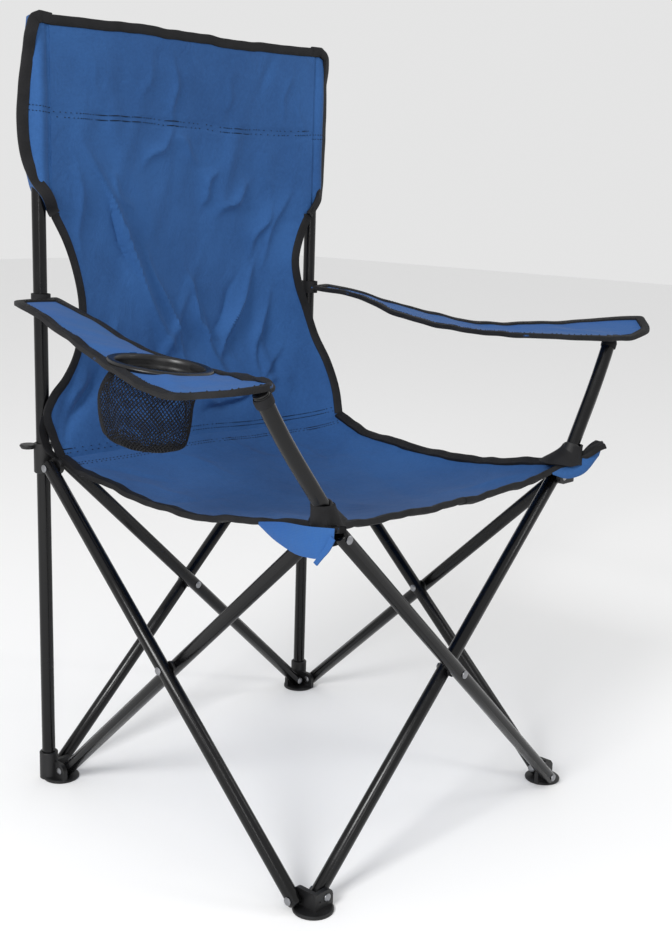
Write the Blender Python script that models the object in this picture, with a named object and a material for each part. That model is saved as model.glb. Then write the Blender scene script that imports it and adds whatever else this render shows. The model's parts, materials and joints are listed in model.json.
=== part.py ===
"""Folding camp chair: four crossed-bar sides between four feet, two rear posts and two front
connectors, carrying a sewn seat, a back panel and two armrests. Metres, +Z up.
The sitter faces -Y, so the sitter's right is -X. Every piece is built at rest, unfolded."""

import math

import bmesh
import bpy
import numpy as np
from mathutils import Matrix, Vector

for o in list(bpy.data.objects):
    bpy.data.objects.remove(o, do_unlink=True)

# ---------------------------------------------------------------- sizes
SPAN_X = 0.4316          # foot centre to foot centre; the fold needs both spans equal
SPAN_Y = SPAN_X
TUBE_R = 0.008
PIVOT_LOW = 0.0072 + 0.725 * TUBE_R  # height of the lower bar pivots: the bars slope, so their ends drop by less than the tube's radius
PIVOT_HIGH = 0.3975      # height of the upper bar pivots
PIVOT_IN_A = 0.0151      # pivot set-in from the corner: outer bar's foot end, inner bar's top end
PIVOT_IN_B = 0.0113      # pivot set-in from the corner: inner bar's foot end, outer bar's top end
OUTER_PLANE = TUBE_R + 0.0068  # outer bars lie this far outside the line of the corners
INNER_PLANE = TUBE_R - 0.0031  # inner bars lie this far inside it
TUBE_WALL = 0.0010
BAR_OVERHANG = 0.0080    # bar end past its pivot
RIVET_R = 0.0025
RIVET_FIT = 0.0003
RIVET_HEAD_R = 0.0046
RIVET_HEAD_H = 0.0012
GAP = 0.0003             # between neighbouring solids

FOOT_R = 0.0218
FOOT_BASE_H = 0.0032
LUG_R = 0.0090           # rounded end of a foot or connector wall about its pivot
WALL_T = 0.0055
POST_OUT = TUBE_R + 0.0012  # rear post centre, outwards from the corner along X and along Y
POST_TOP = 0.8975
POST_CAP_H = 0.0030
SOCKET_R = TUBE_R + 0.0032
SOCKET_H = 0.0340
SLIDER_R = TUBE_R + 0.0030
SLIDER_DOWN = 0.0095
SLIDER_UP = 0.0260
SLIDER_FIT = 0.0003
TAB_R = 0.0105
TAB_OUT = 0.0170
TAB_T = 0.0050

ARM_OFFSET = 0.00375     # arm tube plane, outwards from the corner along Y
ARM_RISE = (0.018, 0.039, 0.069, 0.107, 0.135, 0.149)      # above the upper pivots
ARM_REACH = (-0.004, 0.012, 0.037, 0.065, 0.084, 0.093)    # outwards from the corner
ARM_LEAN_RIGHT = 0.0     # degrees that each arm tube leans in from that shape
ARM_LEAN_LEFT = 6.5
BOSS_R = TUBE_R + 0.0025
BOSS_L = 0.0200
ARM_CAP_T = 0.0025

CLOTH = 0.0015
SEAT_EDGE_LIFT = TUBE_R + 0.0048  # seat corners above the upper pivots
SEAT_SIDE_SAG = 0.0250
SEAT_MID_SAG = 0.0420
SEAT_INSET = 0.0145      # seat side edge, inwards from the corner line
BACK_TOP = 0.9030
BACK_WAIST_HALF = SPAN_X * 0.424
BACK_WAIST_Z = 0.5900
BACK_SLEEVE_LOW = 0.7050
SLEEVE_T = 0.0013
SLEEVE_WING = 0.0100     # the sleeve reaches this much further out than a round one
ARMREST_REAR_UP = 0.1960 # armrest over the upper pivots at the post
ARMREST_LOW_RIGHT = 0.1470
ARMREST_LOW_LEFT = 0.1610
ARMREST_LOW_AT_RIGHT = 0.68  # how far along it hangs lowest
ARMREST_LOW_AT_LEFT = 0.55
ARMREST_FRONT_UP = 0.0095  # armrest over the arm tube's end
ARMREST_FRONT_PAST = 0.0210
ARMREST_INNER = -0.0030  # inner edge, outwards from the corner line
CUP_R_OUT = 0.0535
ARMREST_OUTER = [w * CUP_R_OUT / 0.0535 for w in (0.066, 0.076, 0.090, 0.107, 0.128, 0.143, 0.140)]  # outer edge, rear to front, as wide as the cup ring needs
ARMREST_FRONT_IN_RIGHT = 0.072  # how far the inner edge turns out towards the front
ARMREST_FRONT_IN_LEFT = 0.040
ARMREST_FRONT_OUT_LEFT = 0.020
ARMREST_T = 0.0020
CUP_X_OUT = CUP_R_OUT + 0.0025  # cup ring centre, outwards from the corner
CUP_Y = -0.0400
CUP_TILT = 7.0           # degrees that the cup holder leans
CUP_R_IN = 0.0455
CUP_RING_T = 0.0080
CUP_DEPTH = 0.0900
CUP_R_LOW = 0.0380
CUP_CLOTH = 0.0012
ORIGIN_SHIFT = Vector((-0.00996, -0.00349, 0.0))  # puts the origin under the middle of the whole chair

# ---------------------------------------------------------------- derived
SX, SY = SPAN_X / 2, SPAN_Y / 2
BAR_RUN = SPAN_Y - PIVOT_IN_A - PIVOT_IN_B
BAR_RISE = PIVOT_HIGH - PIVOT_LOW
BAR_LEN = math.hypot(BAR_RUN, BAR_RISE)
OUTER_FACE = OUTER_PLANE - TUBE_R - GAP      # outer face of a wall that an outer bar turns on
INNER_FACE = TUBE_R - INNER_PLANE + GAP      # inner face of a wall that an inner bar turns on

root_collection = bpy.data.collections.new("folding_camp_chair")
bpy.context.scene.collection.children.link(root_collection)
cutters = bpy.data.collections.new("cutters")
cutters.hide_render = True
bpy.context.scene.collection.children.link(cutters)

PAINT = {
    "frame_tube": ((0.030, 0.030, 0.033, 1), 0.28, 0.0),
    "plastic": ((0.020, 0.020, 0.021, 1), 0.55, 0.0),
    "rivet": ((0.62, 0.62, 0.63, 1), 0.30, 1.0),
    "cloth": ((0.050, 0.130, 0.330, 1), 0.85, 0.0),
    "mesh_cloth": ((0.020, 0.020, 0.022, 1), 0.80, 0.0),
}


def material(kind):
    mat = bpy.data.materials.get(kind)
    if mat is None:
        mat = bpy.data.materials.new(kind)
        mat.use_nodes = True
        bsdf = mat.node_tree.nodes["Principled BSDF"]
        colour, rough, metal = PAINT[kind]
        bsdf.inputs["Base Color"].default_value = colour
        bsdf.inputs["Roughness"].default_value = rough
        bsdf.inputs["Metallic"].default_value = metal
    return mat


def finish(mesh_object, kind, smooth=True):
    mesh_object.data.materials.clear()
    mesh_object.data.materials.append(material(kind))
    for poly in mesh_object.data.polygons:
        poly.use_smooth = smooth
    return mesh_object


def from_arrays(name, verts, faces, collection):
    """A mesh object with its faces turned outwards."""
    mesh = bpy.data.meshes.new(name)
    mesh.from_pydata([tuple(v) for v in verts], [], faces)
    bm = bmesh.new()
    bm.from_mesh(mesh)
    bmesh.ops.recalc_face_normals(bm, faces=bm.faces)
    bm.to_mesh(mesh)
    bm.free()
    mesh.update()
    obj = bpy.data.objects.new(name, mesh)
    collection.objects.link(obj)
    return obj


def frames_along(points):
    """Unit tangents and two steady cross directions at each point of a path."""
    p = np.array(points, float)
    t = np.gradient(p, axis=0)
    t /= np.linalg.norm(t, axis=1)[:, None]
    ref = np.array([0, 1.0, 0]) if abs(t[0][1]) < 0.9 else np.array([1.0, 0, 0])
    side = []
    for d in t:
        s = ref - d * (ref @ d)
        side.append(s / np.linalg.norm(s))
    side = np.array(side)
    return p, t, side, np.cross(t, side)


def swept(name, points, radii, segments, collection):
    """A solid of round section along a path, closed at both ends."""
    p, _, a, b = frames_along(points)
    ang = np.linspace(0, 2 * math.pi, segments, endpoint=False)
    ring = np.cos(ang)[:, None, None] * a + np.sin(ang)[:, None, None] * b
    verts = (p + ring * np.array(radii)[None, :, None]).transpose(1, 0, 2).reshape(-1, 3)
    n, faces = len(p), []
    for i in range(n - 1):
        for j in range(segments):
            k = (j + 1) % segments
            faces.append((i * segments + j, i * segments + k, (i + 1) * segments + k, (i + 1) * segments + j))
    faces.append(tuple(range(segments)))
    faces.append(tuple(range((n - 1) * segments, n * segments)))
    return from_arrays(name, verts, faces, collection)


def rod(name, a, b, radius, collection, segments=24):
    return swept(name, [a, b], [radius, radius], segments, collection)


def extruded(name, outline, axis, low, high, collection):
    """A plate: outline is points in the plane across axis, in X, Y, Z order, from low to high along axis."""
    verts = []
    for level in (low, high):
        for q in outline:
            v = list(q)
            v.insert("XYZ".index(axis), level)
            verts.append(v)
    n = len(outline)
    faces = [tuple(range(n)), tuple(range(n, 2 * n))]
    faces += [(i, (i + 1) % n, n + (i + 1) % n, n + i) for i in range(n)]
    return from_arrays(name, verts, faces, collection)


def boolean(obj, other, operation):
    m = obj.modifiers.new(operation.lower(), "BOOLEAN")
    m.operation, m.solver, m.object = operation, "EXACT", other
    other.hide_render = True
    other.display_type = "WIRE"


def place(obj, matrix):
    """Moves the piece and its cutters into the assembly."""
    for o in [obj] + [m.object for m in obj.modifiers if m.type == "BOOLEAN"]:
        o.matrix_world = matrix @ o.matrix_world
    return obj


def corner_matrix(k):
    """Corner k, counted front right, rear right, rear left, front left, each a quarter turn on."""
    centre = [(-SX, -SY), (-SX, SY), (SX, SY), (SX, -SY)][k]
    return Matrix.Translation(Vector((*centre, 0))) @ Matrix.Rotation(-k * math.pi / 2, 4, "Z")


def lug_outline(start, pivot, low, level, radius, steps=10):
    """Wall outline in (along, height): from start to a round end about the pivot."""
    pts = [(start, low), (pivot + radius, low), (pivot + radius, level)]
    for i in range(1, steps + 1):
        a = i / steps * math.pi / 2
        pts.append((pivot + radius * math.cos(a), level + radius * math.sin(a)))
    pts.append((start + 0.003, level + radius))
    pts.append((start, level + radius - 0.003))
    return pts


def lug_outline_top(start, pivot, level, radius, down, steps=20):
    """The same for an upper wall, round below the pivot too."""
    pts = [(start, level - down)]
    for i in range(steps + 1):
        a = -math.pi / 2 + i / steps * math.pi
        pts.append((pivot + radius * math.cos(a), level + radius * math.sin(a)))
    pts.append((start + 0.003, level + radius))
    pts.append((start, level + radius - 0.003))
    return pts


# ---------------------------------------------------------------- feet
def foot(name, k, rear):
    base = swept(name, [(0.0015, 0.0015, 0), (0.0015, 0.0015, 0.0020), (0.0015, 0.0015, FOOT_BASE_H)],
                 [FOOT_R, FOOT_R, FOOT_R - 0.0015], 32, root_collection)
    w_out = extruded(name + "_w1", lug_outline(-INNER_FACE - WALL_T, PIVOT_IN_A, 0.001, PIVOT_LOW, LUG_R),
                     "X", -OUTER_FACE, -OUTER_FACE + WALL_T, cutters)
    w_in = extruded(name + "_w2", lug_outline(-OUTER_FACE, PIVOT_IN_B, 0.001, PIVOT_LOW, LUG_R),
                    "Y", -INNER_FACE - WALL_T, -INNER_FACE, cutters)
    boolean(base, w_out, "UNION")
    boolean(base, w_in, "UNION")
    if rear:
        c = (-POST_OUT, -POST_OUT)
        boolean(base, swept(name + "_socket", [(*c, 0), (*c, SOCKET_H - 0.001), (*c, SOCKET_H)],
                            [SOCKET_R, SOCKET_R, SOCKET_R - 0.001], 36, cutters), "UNION")
        boolean(base, rod(name + "_bore", (*c, FOOT_BASE_H), (*c, SOCKET_H + 0.01), TUBE_R + GAP, cutters, 32), "DIFFERENCE")
    else:
        for i, x in enumerate((0.0005, 0.0085)):
            boolean(base, rod(f"{name}_pin{i}", (x, -0.02, PIVOT_LOW - 0.001), (x, -INNER_FACE - WALL_T + 0.0018, PIVOT_LOW - 0.001), 0.0011, cutters, 12), "DIFFERENCE")
    boolean(base, rod(name + "_h1", (-0.03, PIVOT_IN_A, PIVOT_LOW), (0.0045, PIVOT_IN_A, PIVOT_LOW), RIVET_R + RIVET_FIT, cutters, 12), "DIFFERENCE")
    boolean(base, rod(name + "_h2", (PIVOT_IN_B, -0.03, PIVOT_LOW), (PIVOT_IN_B, 0.0045, PIVOT_LOW), RIVET_R + RIVET_FIT, cutters, 12), "DIFFERENCE")
    finish(base, "plastic", smooth=False)
    return place(base, corner_matrix(k))


# ---------------------------------------------------------------- upper fittings, in the layout of a foot with X and Y swapped
def top_walls(name, down):
    w_out = extruded(name, lug_outline_top(-INNER_FACE - WALL_T, PIVOT_IN_B, PIVOT_HIGH, LUG_R, down),
                     "Y", -OUTER_FACE, -OUTER_FACE + WALL_T, root_collection)
    w_in = extruded(name + "_w2", lug_outline_top(-OUTER_FACE, PIVOT_IN_A, PIVOT_HIGH, LUG_R, down),
                    "X", -INNER_FACE - WALL_T, -INNER_FACE, cutters)
    boolean(w_out, w_in, "UNION")
    return w_out


def top_holes(obj, name):
    boolean(obj, rod(name + "_h1", (PIVOT_IN_B, -0.03, PIVOT_HIGH), (PIVOT_IN_B, 0.0045, PIVOT_HIGH), RIVET_R + RIVET_FIT, cutters, 12), "DIFFERENCE")
    boolean(obj, rod(name + "_h2", (-0.03, PIVOT_IN_A, PIVOT_HIGH), (0.0045, PIVOT_IN_A, PIVOT_HIGH), RIVET_R + RIVET_FIT, cutters, 12), "DIFFERENCE")


def slider(name, k):
    obj = top_walls(name, SLIDER_DOWN)
    c = (-POST_OUT, -POST_OUT)
    lo, hi = PIVOT_HIGH - SLIDER_DOWN, PIVOT_HIGH + SLIDER_UP
    boolean(obj, swept(name + "_sleeve", [(*c, lo), (*c, lo + 0.001), (*c, hi - 0.001), (*c, hi)],
                       [SLIDER_R - 0.0008, SLIDER_R, SLIDER_R, SLIDER_R - 0.0008], 36, cutters), "UNION")
    t = -POST_OUT - TAB_OUT / math.sqrt(2)
    boolean(obj, swept(name + "_tab", [(t, t, hi - TAB_T - 0.002), (t, t, hi - 0.0035), (t, t, hi - 0.002)],
                       [TAB_R - 0.002, TAB_R, TAB_R - 0.001], 28, cutters), "UNION")
    boolean(obj, rod(name + "_bore", (*c, lo - 0.01), (*c, hi + 0.01), TUBE_R + SLIDER_FIT, cutters, 32), "DIFFERENCE")
    top_holes(obj, name)
    finish(obj, "plastic", smooth=False)
    return place(obj, corner_matrix(k))


def arm_points(side):
    """Arm tube centreline; side is -1 at the sitter's right and +1 at the left."""
    lean = math.radians(ARM_LEAN_RIGHT if side < 0 else ARM_LEAN_LEFT)
    z = np.array(ARM_RISE)
    fine = np.linspace(z[0], z[-1], 7)
    reach = np.polyval(np.polyfit(z, np.array(ARM_REACH), 3), fine)
    dx, dz = reach - reach[0], fine - fine[0]
    x = reach[0] + dx * math.cos(lean) - dz * math.sin(lean)
    h = fine[0] + dx * math.sin(lean) + dz * math.cos(lean)
    return [(side * (SX + float(a)), -SY - ARM_OFFSET, PIVOT_HIGH + float(b)) for a, b in zip(x, h)]


def connector(name, side):
    """Front fitting. The left one holds its bars a quarter turn on from the right one."""
    obj = top_walls(name, LUG_R)
    top_holes(obj, name)
    k = 0 if side < 0 else 3
    place(obj, corner_matrix(k))
    p = arm_points(side)
    a, b = Vector(p[0]), Vector(p[1])
    d = (b - a).normalized()
    boss = swept(name + "_boss", [a - d * 0.0025, a - d * 0.0015, a + d * (BOSS_L - 0.001), a + d * BOSS_L],
                 [BOSS_R - 0.001, BOSS_R, BOSS_R, BOSS_R - 0.001], 32, cutters)
    x = side * SX
    neck_low, neck_high = PIVOT_HIGH + LUG_R - 0.004, PIVOT_HIGH + ARM_RISE[0] + 0.002
    y0, y1 = -SY - OUTER_FACE, -SY - OUTER_FACE + 2 * WALL_T
    inner, outer = x - side * 0.0125, x + side * 0.0105
    if side > 0:                                   # clear of the inner bar, which lies along X here
        y0, y1 = -SY - INNER_FACE - WALL_T, -SY - INNER_FACE
        inner, outer = x - side * 0.0085, x + side * 0.0065
    neck = extruded(name + "_neck", [(min(inner, outer), y0), (max(inner, outer), y0), (max(inner, outer), y1), (min(inner, outer), y1)],
                    "Z", neck_low, neck_high, cutters)
    boolean(obj, neck, "UNION")
    boolean(obj, boss, "UNION")
    boolean(obj, rod(name + "_armbore", a - d * GAP, a + d * (BOSS_L + 0.01), TUBE_R + GAP, cutters, 32), "DIFFERENCE")
    finish(obj, "plastic", smooth=False)
    return obj


# ---------------------------------------------------------------- tubes
def bar(name, low, high):
    """A tube between two pivots, swaged shut past each, with a rivet hole at each end and in the middle."""
    low, high = Vector(low), Vector(high)
    d = (high - low).normalized()
    over = BAR_OVERHANG
    stations = [-over, -over + 0.0010, -over + 0.0030, BAR_LEN + over - 0.0030, BAR_LEN + over - 0.0010, BAR_LEN + over]
    radii = [TUBE_R * 0.56, TUBE_R * 0.80, TUBE_R, TUBE_R, TUBE_R * 0.80, TUBE_R * 0.56]
    obj = swept(name, [low + d * s for s in stations], radii, 24, root_collection)
    boolean(obj, rod(name + "_inside", low - d * (over - 0.0035), high + d * (over - 0.0035), TUBE_R - TUBE_WALL, cutters, 24), "DIFFERENCE")
    across = Vector((1, 0, 0)) if abs(d.x) < 0.5 else Vector((0, 1, 0))
    for i, q in enumerate((low, (low + high) / 2, high)):
        boolean(obj, rod(f"{name}_h{i}", q - across * 0.02, q + across * 0.02, RIVET_R + RIVET_FIT, cutters, 12), "DIFFERENCE")
    return finish(obj, "frame_tube")


def hollow(name, points, outer, inner, kind, segments=24):
    """An open tube along a path."""
    obj = swept(name, points, [outer] * len(points), segments, root_collection)
    p, t, _, _ = frames_along(points)
    longer = [tuple(p[0] - t[0] * 0.01), *points, tuple(p[-1] + t[-1] * 0.01)]
    boolean(obj, swept(name + "_inside", longer, [inner] * len(longer), segments, cutters), "DIFFERENCE")
    return finish(obj, kind)


def rivet(name, at, axis, head, tail):
    """A rivet through a joint: shank from head to tail along axis, with a domed head at each end."""
    a, d = Vector(at), Vector(axis)
    h = RIVET_HEAD_H
    s = [head - h, head - h * 0.6, head, head, tail, tail, tail + h * 0.6, tail + h]
    r = [RIVET_HEAD_R * 0.55, RIVET_HEAD_R * 0.86, RIVET_HEAD_R, RIVET_R, RIVET_R, RIVET_HEAD_R, RIVET_HEAD_R * 0.86, RIVET_HEAD_R * 0.55]
    return finish(swept(name, [a + d * x for x in s], r, 12, root_collection), "rivet")


CORNERS = ("front_right", "rear_right", "rear_left", "front_left")
for k, corner in enumerate(CORNERS):
    foot("foot_" + corner, k, rear=k in (1, 2))
slider("slider_right", 1)
slider("slider_left", 2)
connector("connector_right", -1)
connector("connector_left", 1)

SIDES = ("right", "rear", "left", "front")       # side k runs from corner k to corner k + 1
for k, side in enumerate(SIDES):
    m = corner_matrix(k)
    run = SPAN_Y
    # in corner k's layout: the side runs along +Y and -X is outwards
    o_low, o_high = m @ Vector((-OUTER_PLANE, PIVOT_IN_A, PIVOT_LOW)), m @ Vector((-OUTER_PLANE, run - PIVOT_IN_B, PIVOT_HIGH))
    i_low, i_high = m @ Vector((INNER_PLANE, run - PIVOT_IN_B, PIVOT_LOW)), m @ Vector((INNER_PLANE, PIVOT_IN_A, PIVOT_HIGH))
    bar(f"bar_{side}_outer", o_low, o_high)
    bar(f"bar_{side}_inner", i_low, i_high)
    inward = (m.to_3x3() @ Vector((1, 0, 0)))
    clear = TUBE_R + GAP
    wall_in = -OUTER_FACE + WALL_T + GAP             # inner side of the wall that carries the outer bar
    wall_out = -INNER_FACE - WALL_T - GAP            # outer side of the wall that carries the inner bar
    # lower pivots
    rivet(f"rivet_foot_{CORNERS[k]}_outer", m @ Vector((0, PIVOT_IN_A, PIVOT_LOW)), inward, -OUTER_PLANE - clear, wall_in)
    rivet(f"rivet_foot_{CORNERS[(k + 1) % 4]}_inner", m @ Vector((0, run - PIVOT_IN_B, PIVOT_LOW)), inward, wall_out, INNER_PLANE + clear)
    # upper pivots
    rivet(f"rivet_top_{CORNERS[(k + 1) % 4]}_outer", m @ Vector((0, run - PIVOT_IN_B, PIVOT_HIGH)), inward, -OUTER_PLANE - clear, wall_in)
    rivet(f"rivet_top_{CORNERS[k]}_inner", m @ Vector((0, PIVOT_IN_A, PIVOT_HIGH)), inward, wall_out, INNER_PLANE + clear)
    # crossing, with its spacer between the tubes
    mid = m @ Vector((0, PIVOT_IN_A + BAR_RUN / 2, (PIVOT_LOW + PIVOT_HIGH) / 2))
    rivet(f"rivet_cross_{side}", mid, inward, -OUTER_PLANE - clear, INNER_PLANE + clear)
    s0, s1 = -OUTER_PLANE + TUBE_R + GAP, INNER_PLANE - TUBE_R - GAP
    washer = rod(f"spacer_cross_{side}", mid + inward * s0, mid + inward * s1, 0.0070, root_collection, 28)
    boolean(washer, rod(f"spacer_cross_{side}_hole", mid + inward * (s0 - 0.01), mid + inward * (s1 + 0.01), RIVET_R + RIVET_FIT, cutters, 12), "DIFFERENCE")
    finish(washer, "plastic", smooth=False)

for side, label in ((-1, "right"), (1, "left")):
    c = (side * (SX + POST_OUT), SY + POST_OUT)
    hollow("post_" + label, [(*c, FOOT_BASE_H + GAP), (*c, POST_TOP)], TUBE_R, TUBE_R - TUBE_WALL, "frame_tube")
    cap = swept("post_cap_" + label, [(*c, POST_TOP - 0.010), (*c, POST_TOP + GAP), (*c, POST_TOP + GAP), (*c, POST_TOP + GAP + POST_CAP_H * 0.6), (*c, POST_TOP + GAP + POST_CAP_H)],
                [TUBE_R - TUBE_WALL - GAP, TUBE_R - TUBE_WALL - GAP, TUBE_R, TUBE_R, TUBE_R * 0.72], 20, root_collection)
    finish(cap, "plastic")
    p = arm_points(side)
    hollow("arm_tube_" + label, p, TUBE_R, TUBE_R - TUBE_WALL, "frame_tube")
    a, b = Vector(p[-2]), Vector(p[-1])
    d = (b - a).normalized()
    cap = swept("arm_cap_" + label, [b - d * 0.010, b + d * GAP, b + d * GAP, b + d * (GAP + ARM_CAP_T * 0.6), b + d * (GAP + ARM_CAP_T)],
                [TUBE_R - TUBE_WALL - GAP, TUBE_R - TUBE_WALL - GAP, TUBE_R, TUBE_R, TUBE_R * 0.72], 20, root_collection)
    finish(cap, "plastic")


# ---------------------------------------------------------------- cloth
def slab(name, low, high, kind):
    """A closed thin solid between two grids of points."""
    nu, nv = low.shape[:2]
    verts = np.concatenate([low.reshape(-1, 3), high.reshape(-1, 3)])
    n, faces = nu * nv, []
    for i in range(nu - 1):
        for j in range(nv - 1):
            a, b, c, d = i * nv + j, i * nv + j + 1, (i + 1) * nv + j + 1, (i + 1) * nv + j
            faces.append((a, b, c, d))
            faces.append((n + d, n + c, n + b, n + a))
    edge = [i * nv for i in range(nu)] + [(nu - 1) * nv + j for j in range(1, nv)]
    edge += [i * nv + nv - 1 for i in range(nu - 2, -1, -1)] + [j for j in range(nv - 2, 0, -1)]
    for a, b in zip(edge, edge[1:] + edge[:1]):
        faces.append((b, a, n + a, n + b))
    return finish(from_arrays(name, verts, faces, root_collection), kind)


def smooth_step(t):
    t = np.clip(t, 0, 1)
    return t * t * (3 - 2 * t)


SEAT_X = SX - SEAT_INSET
SEAT_FRONT, SEAT_REAR = -SY + 0.0004, SY - 0.0130
SEAT_Z = PIVOT_HIGH + SEAT_EDGE_LIFT


def seat_height(x, y):
    """Seat surface: hung from its four corners, with its edges sagging a little and its middle more."""
    u = x / SEAT_X
    v = (y - SEAT_FRONT) / (SEAT_REAR - SEAT_FRONT)
    along = 4 * v * (1 - v)
    across = 1 - u * u
    return SEAT_Z - SEAT_SIDE_SAG * along ** 0.9 - 0.009 * across * (1 - v) - (SEAT_MID_SAG - SEAT_SIDE_SAG) * across * along


def seat_half(name, side):
    split = GAP / 2 + 0.0001
    x = side * np.linspace(split, SEAT_X, 9)
    y = np.linspace(SEAT_FRONT, SEAT_REAR, 17)
    gx, gy = np.meshgrid(x, y, indexing="ij")
    gz = seat_height(gx, gy)
    low = np.stack([gx, gy, gz - CLOTH / 2], -1)
    high = np.stack([gx, gy, gz + CLOTH / 2], -1)
    return slab(name, low, high, "cloth")


seat_half("seat_right_half", -1)
seat_half("seat_left_half", 1)

BACK_Y = SY + POST_OUT - TUBE_R - SLEEVE_T - 0.0010
BACK_LOW = SEAT_Z - 0.0010
BACK_HALF = SX + POST_OUT - TUBE_R - SLEEVE_T - 0.0012


def back_half(z):
    """Half width of the back panel: full between the sleeves, waisted at the armrests, full again at the seat."""
    top = smooth_step((z - BACK_WAIST_Z - 0.02) / (BACK_SLEEVE_LOW - BACK_WAIST_Z - 0.02))
    bottom = smooth_step((BACK_WAIST_Z - 0.02 - z) / (BACK_WAIST_Z - 0.02 - BACK_LOW - 0.055))
    return BACK_WAIST_HALF + (BACK_HALF - BACK_WAIST_HALF) * np.maximum(top, bottom)


w = np.linspace(0, 1, 21)
back_z = BACK_LOW + (BACK_TOP - BACK_LOW) * w
half = back_half(back_z)
u = np.linspace(-1, 1, 11)
gu, gz = np.meshgrid(u, back_z, indexing="ij")
gx = gu * half[None, :]
slack = 0.010 * (1 - gu ** 2) * np.sin(np.pi * np.clip(w, 0, 1))[None, :]
foot_in = (BACK_Y - (SEAT_REAR + CLOTH + 0.0006)) * (1 - smooth_step((gz - BACK_LOW) / 0.07))
gy = BACK_Y + slack - foot_in
top_wave = -0.006 * (1 - gu ** 2) * smooth_step((gz - BACK_TOP + 0.1) / 0.1)
slab("back_panel", np.stack([gx, gy + CLOTH / 2, gz + top_wave], -1), np.stack([gx, gy - CLOTH / 2, gz + top_wave], -1), "cloth")

def stadium(centre, side, radius, wing, steps=12):
    """Long round outline from the post's centre outwards by wing."""
    pts = []
    for i in range(steps + 1):
        t = -math.pi / 2 + i / steps * math.pi
        pts.append((centre[0] + side * (wing + radius * math.cos(t)), centre[1] + radius * math.sin(t)))
    for i in range(steps + 1):
        t = math.pi / 2 + i / steps * math.pi
        pts.append((centre[0] + side * radius * math.cos(t), centre[1] + radius * math.sin(t)))
    return pts


for side, label in ((-1, "right"), (1, "left")):
    c = (side * (SX + POST_OUT), SY + POST_OUT)
    top = POST_TOP + 2 * GAP + POST_CAP_H
    sleeve = extruded("back_sleeve_" + label, stadium(c, side, TUBE_R + GAP + SLEEVE_T, SLEEVE_WING),
                      "Z", BACK_SLEEVE_LOW, top + 0.0015, root_collection)
    boolean(sleeve, extruded("back_sleeve_" + label + "_inside", stadium(c, side, TUBE_R + GAP, SLEEVE_WING),
                             "Z", BACK_SLEEVE_LOW - 0.01, top, cutters), "DIFFERENCE")
    finish(sleeve, "cloth", smooth=False)


def armrest_grid(side, nu=7, nv=19):
    """Armrest surface from the post to just past the arm tube's end: rows along, columns across."""
    tip = arm_points(side)[-1]
    rear, front = SY + POST_OUT - TUBE_R - 0.0022, tip[1] - ARMREST_FRONT_PAST
    v = np.linspace(0, 1, nv)
    y = rear + (front - rear) * v
    stations = np.linspace(0, 1, len(ARMREST_OUTER))
    outer = SX + np.polyval(np.polyfit(stations, ARMREST_OUTER, 4), v)
    inner = np.full(nv, SX + ARMREST_INNER)
    round_off = 1 - np.sqrt(np.clip(1 - ((v - 0.88) / 0.12).clip(0, 1) ** 2, 0, 1))
    inner = inner + (ARMREST_FRONT_IN_RIGHT if side < 0 else ARMREST_FRONT_IN_LEFT) * smooth_step((v - 0.66) / 0.34) + 0.012 * round_off
    outer = outer + (0 if side < 0 else ARMREST_FRONT_OUT_LEFT) * smooth_step((v - 0.6) / 0.3) - 0.030 * round_off
    u = np.linspace(0, 1, nu)
    gx = inner[None, :] + (outer - inner)[None, :] * u[:, None]
    gy = y[None, :] - 0.024 * u[:, None] * (1 - smooth_step(v / 0.5))[None, :]
    over = tip[2] + ARMREST_FRONT_UP
    high, low = PIVOT_HIGH + ARMREST_REAR_UP, PIVOT_HIGH + (ARMREST_LOW_RIGHT if side < 0 else ARMREST_LOW_LEFT)
    at = ARMREST_LOW_AT_RIGHT if side < 0 else ARMREST_LOW_AT_LEFT
    at_tip = (tip[1] - rear) / (front - rear)
    z = np.where(v < at, low + (high - low) * np.clip(1 - v / at, 0, 1) ** 1.9,
                 low + (over - low) * np.clip((v - at) / (at_tip - at), 0, 1.3) ** 1.6)
    gz = np.broadcast_to(z[None, :], gx.shape)
    return side * gx, gy, gz


def armrest(name, side):
    gx, gy, gz = armrest_grid(side)
    obj = slab(name, np.stack([gx, gy, gz - ARMREST_T / 2], -1), np.stack([gx, gy, gz + ARMREST_T / 2], -1), "cloth")
    return obj


def height_on_armrest(side, y):
    _, gy, gz = armrest_grid(side)
    order = np.argsort(gy[0])
    return float(np.interp(y, gy[0][order], gz[0][order]))


right_rest = armrest("armrest_right", -1)
armrest("armrest_left", 1)
CUP_X = -(SX + CUP_X_OUT)
CUP_Z = height_on_armrest(-1, CUP_Y)
CUP_LEAN = Matrix.Translation((CUP_X, CUP_Y, CUP_Z)) @ Matrix.Rotation(math.radians(CUP_TILT), 4, Vector((0.75, 0.66, 0)))


def on_cup_axis(height):
    return CUP_LEAN @ Vector((0, 0, height))


boolean(right_rest, rod("cup_hole", on_cup_axis(-0.05), on_cup_axis(0.05), CUP_R_OUT + 0.0010, cutters, 48), "DIFFERENCE")
t = CUP_RING_T / 2
ring = swept("cup_ring", [on_cup_axis(h) for h in (-t, -t * 0.55, t * 0.55, t)], [CUP_R_OUT - 0.0020, CUP_R_OUT, CUP_R_OUT, CUP_R_OUT - 0.0020], 48, root_collection)
boolean(ring, rod("cup_ring_inside", on_cup_axis(-0.05), on_cup_axis(0.05), CUP_R_IN, cutters, 48), "DIFFERENCE")
finish(ring, "plastic")

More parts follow.
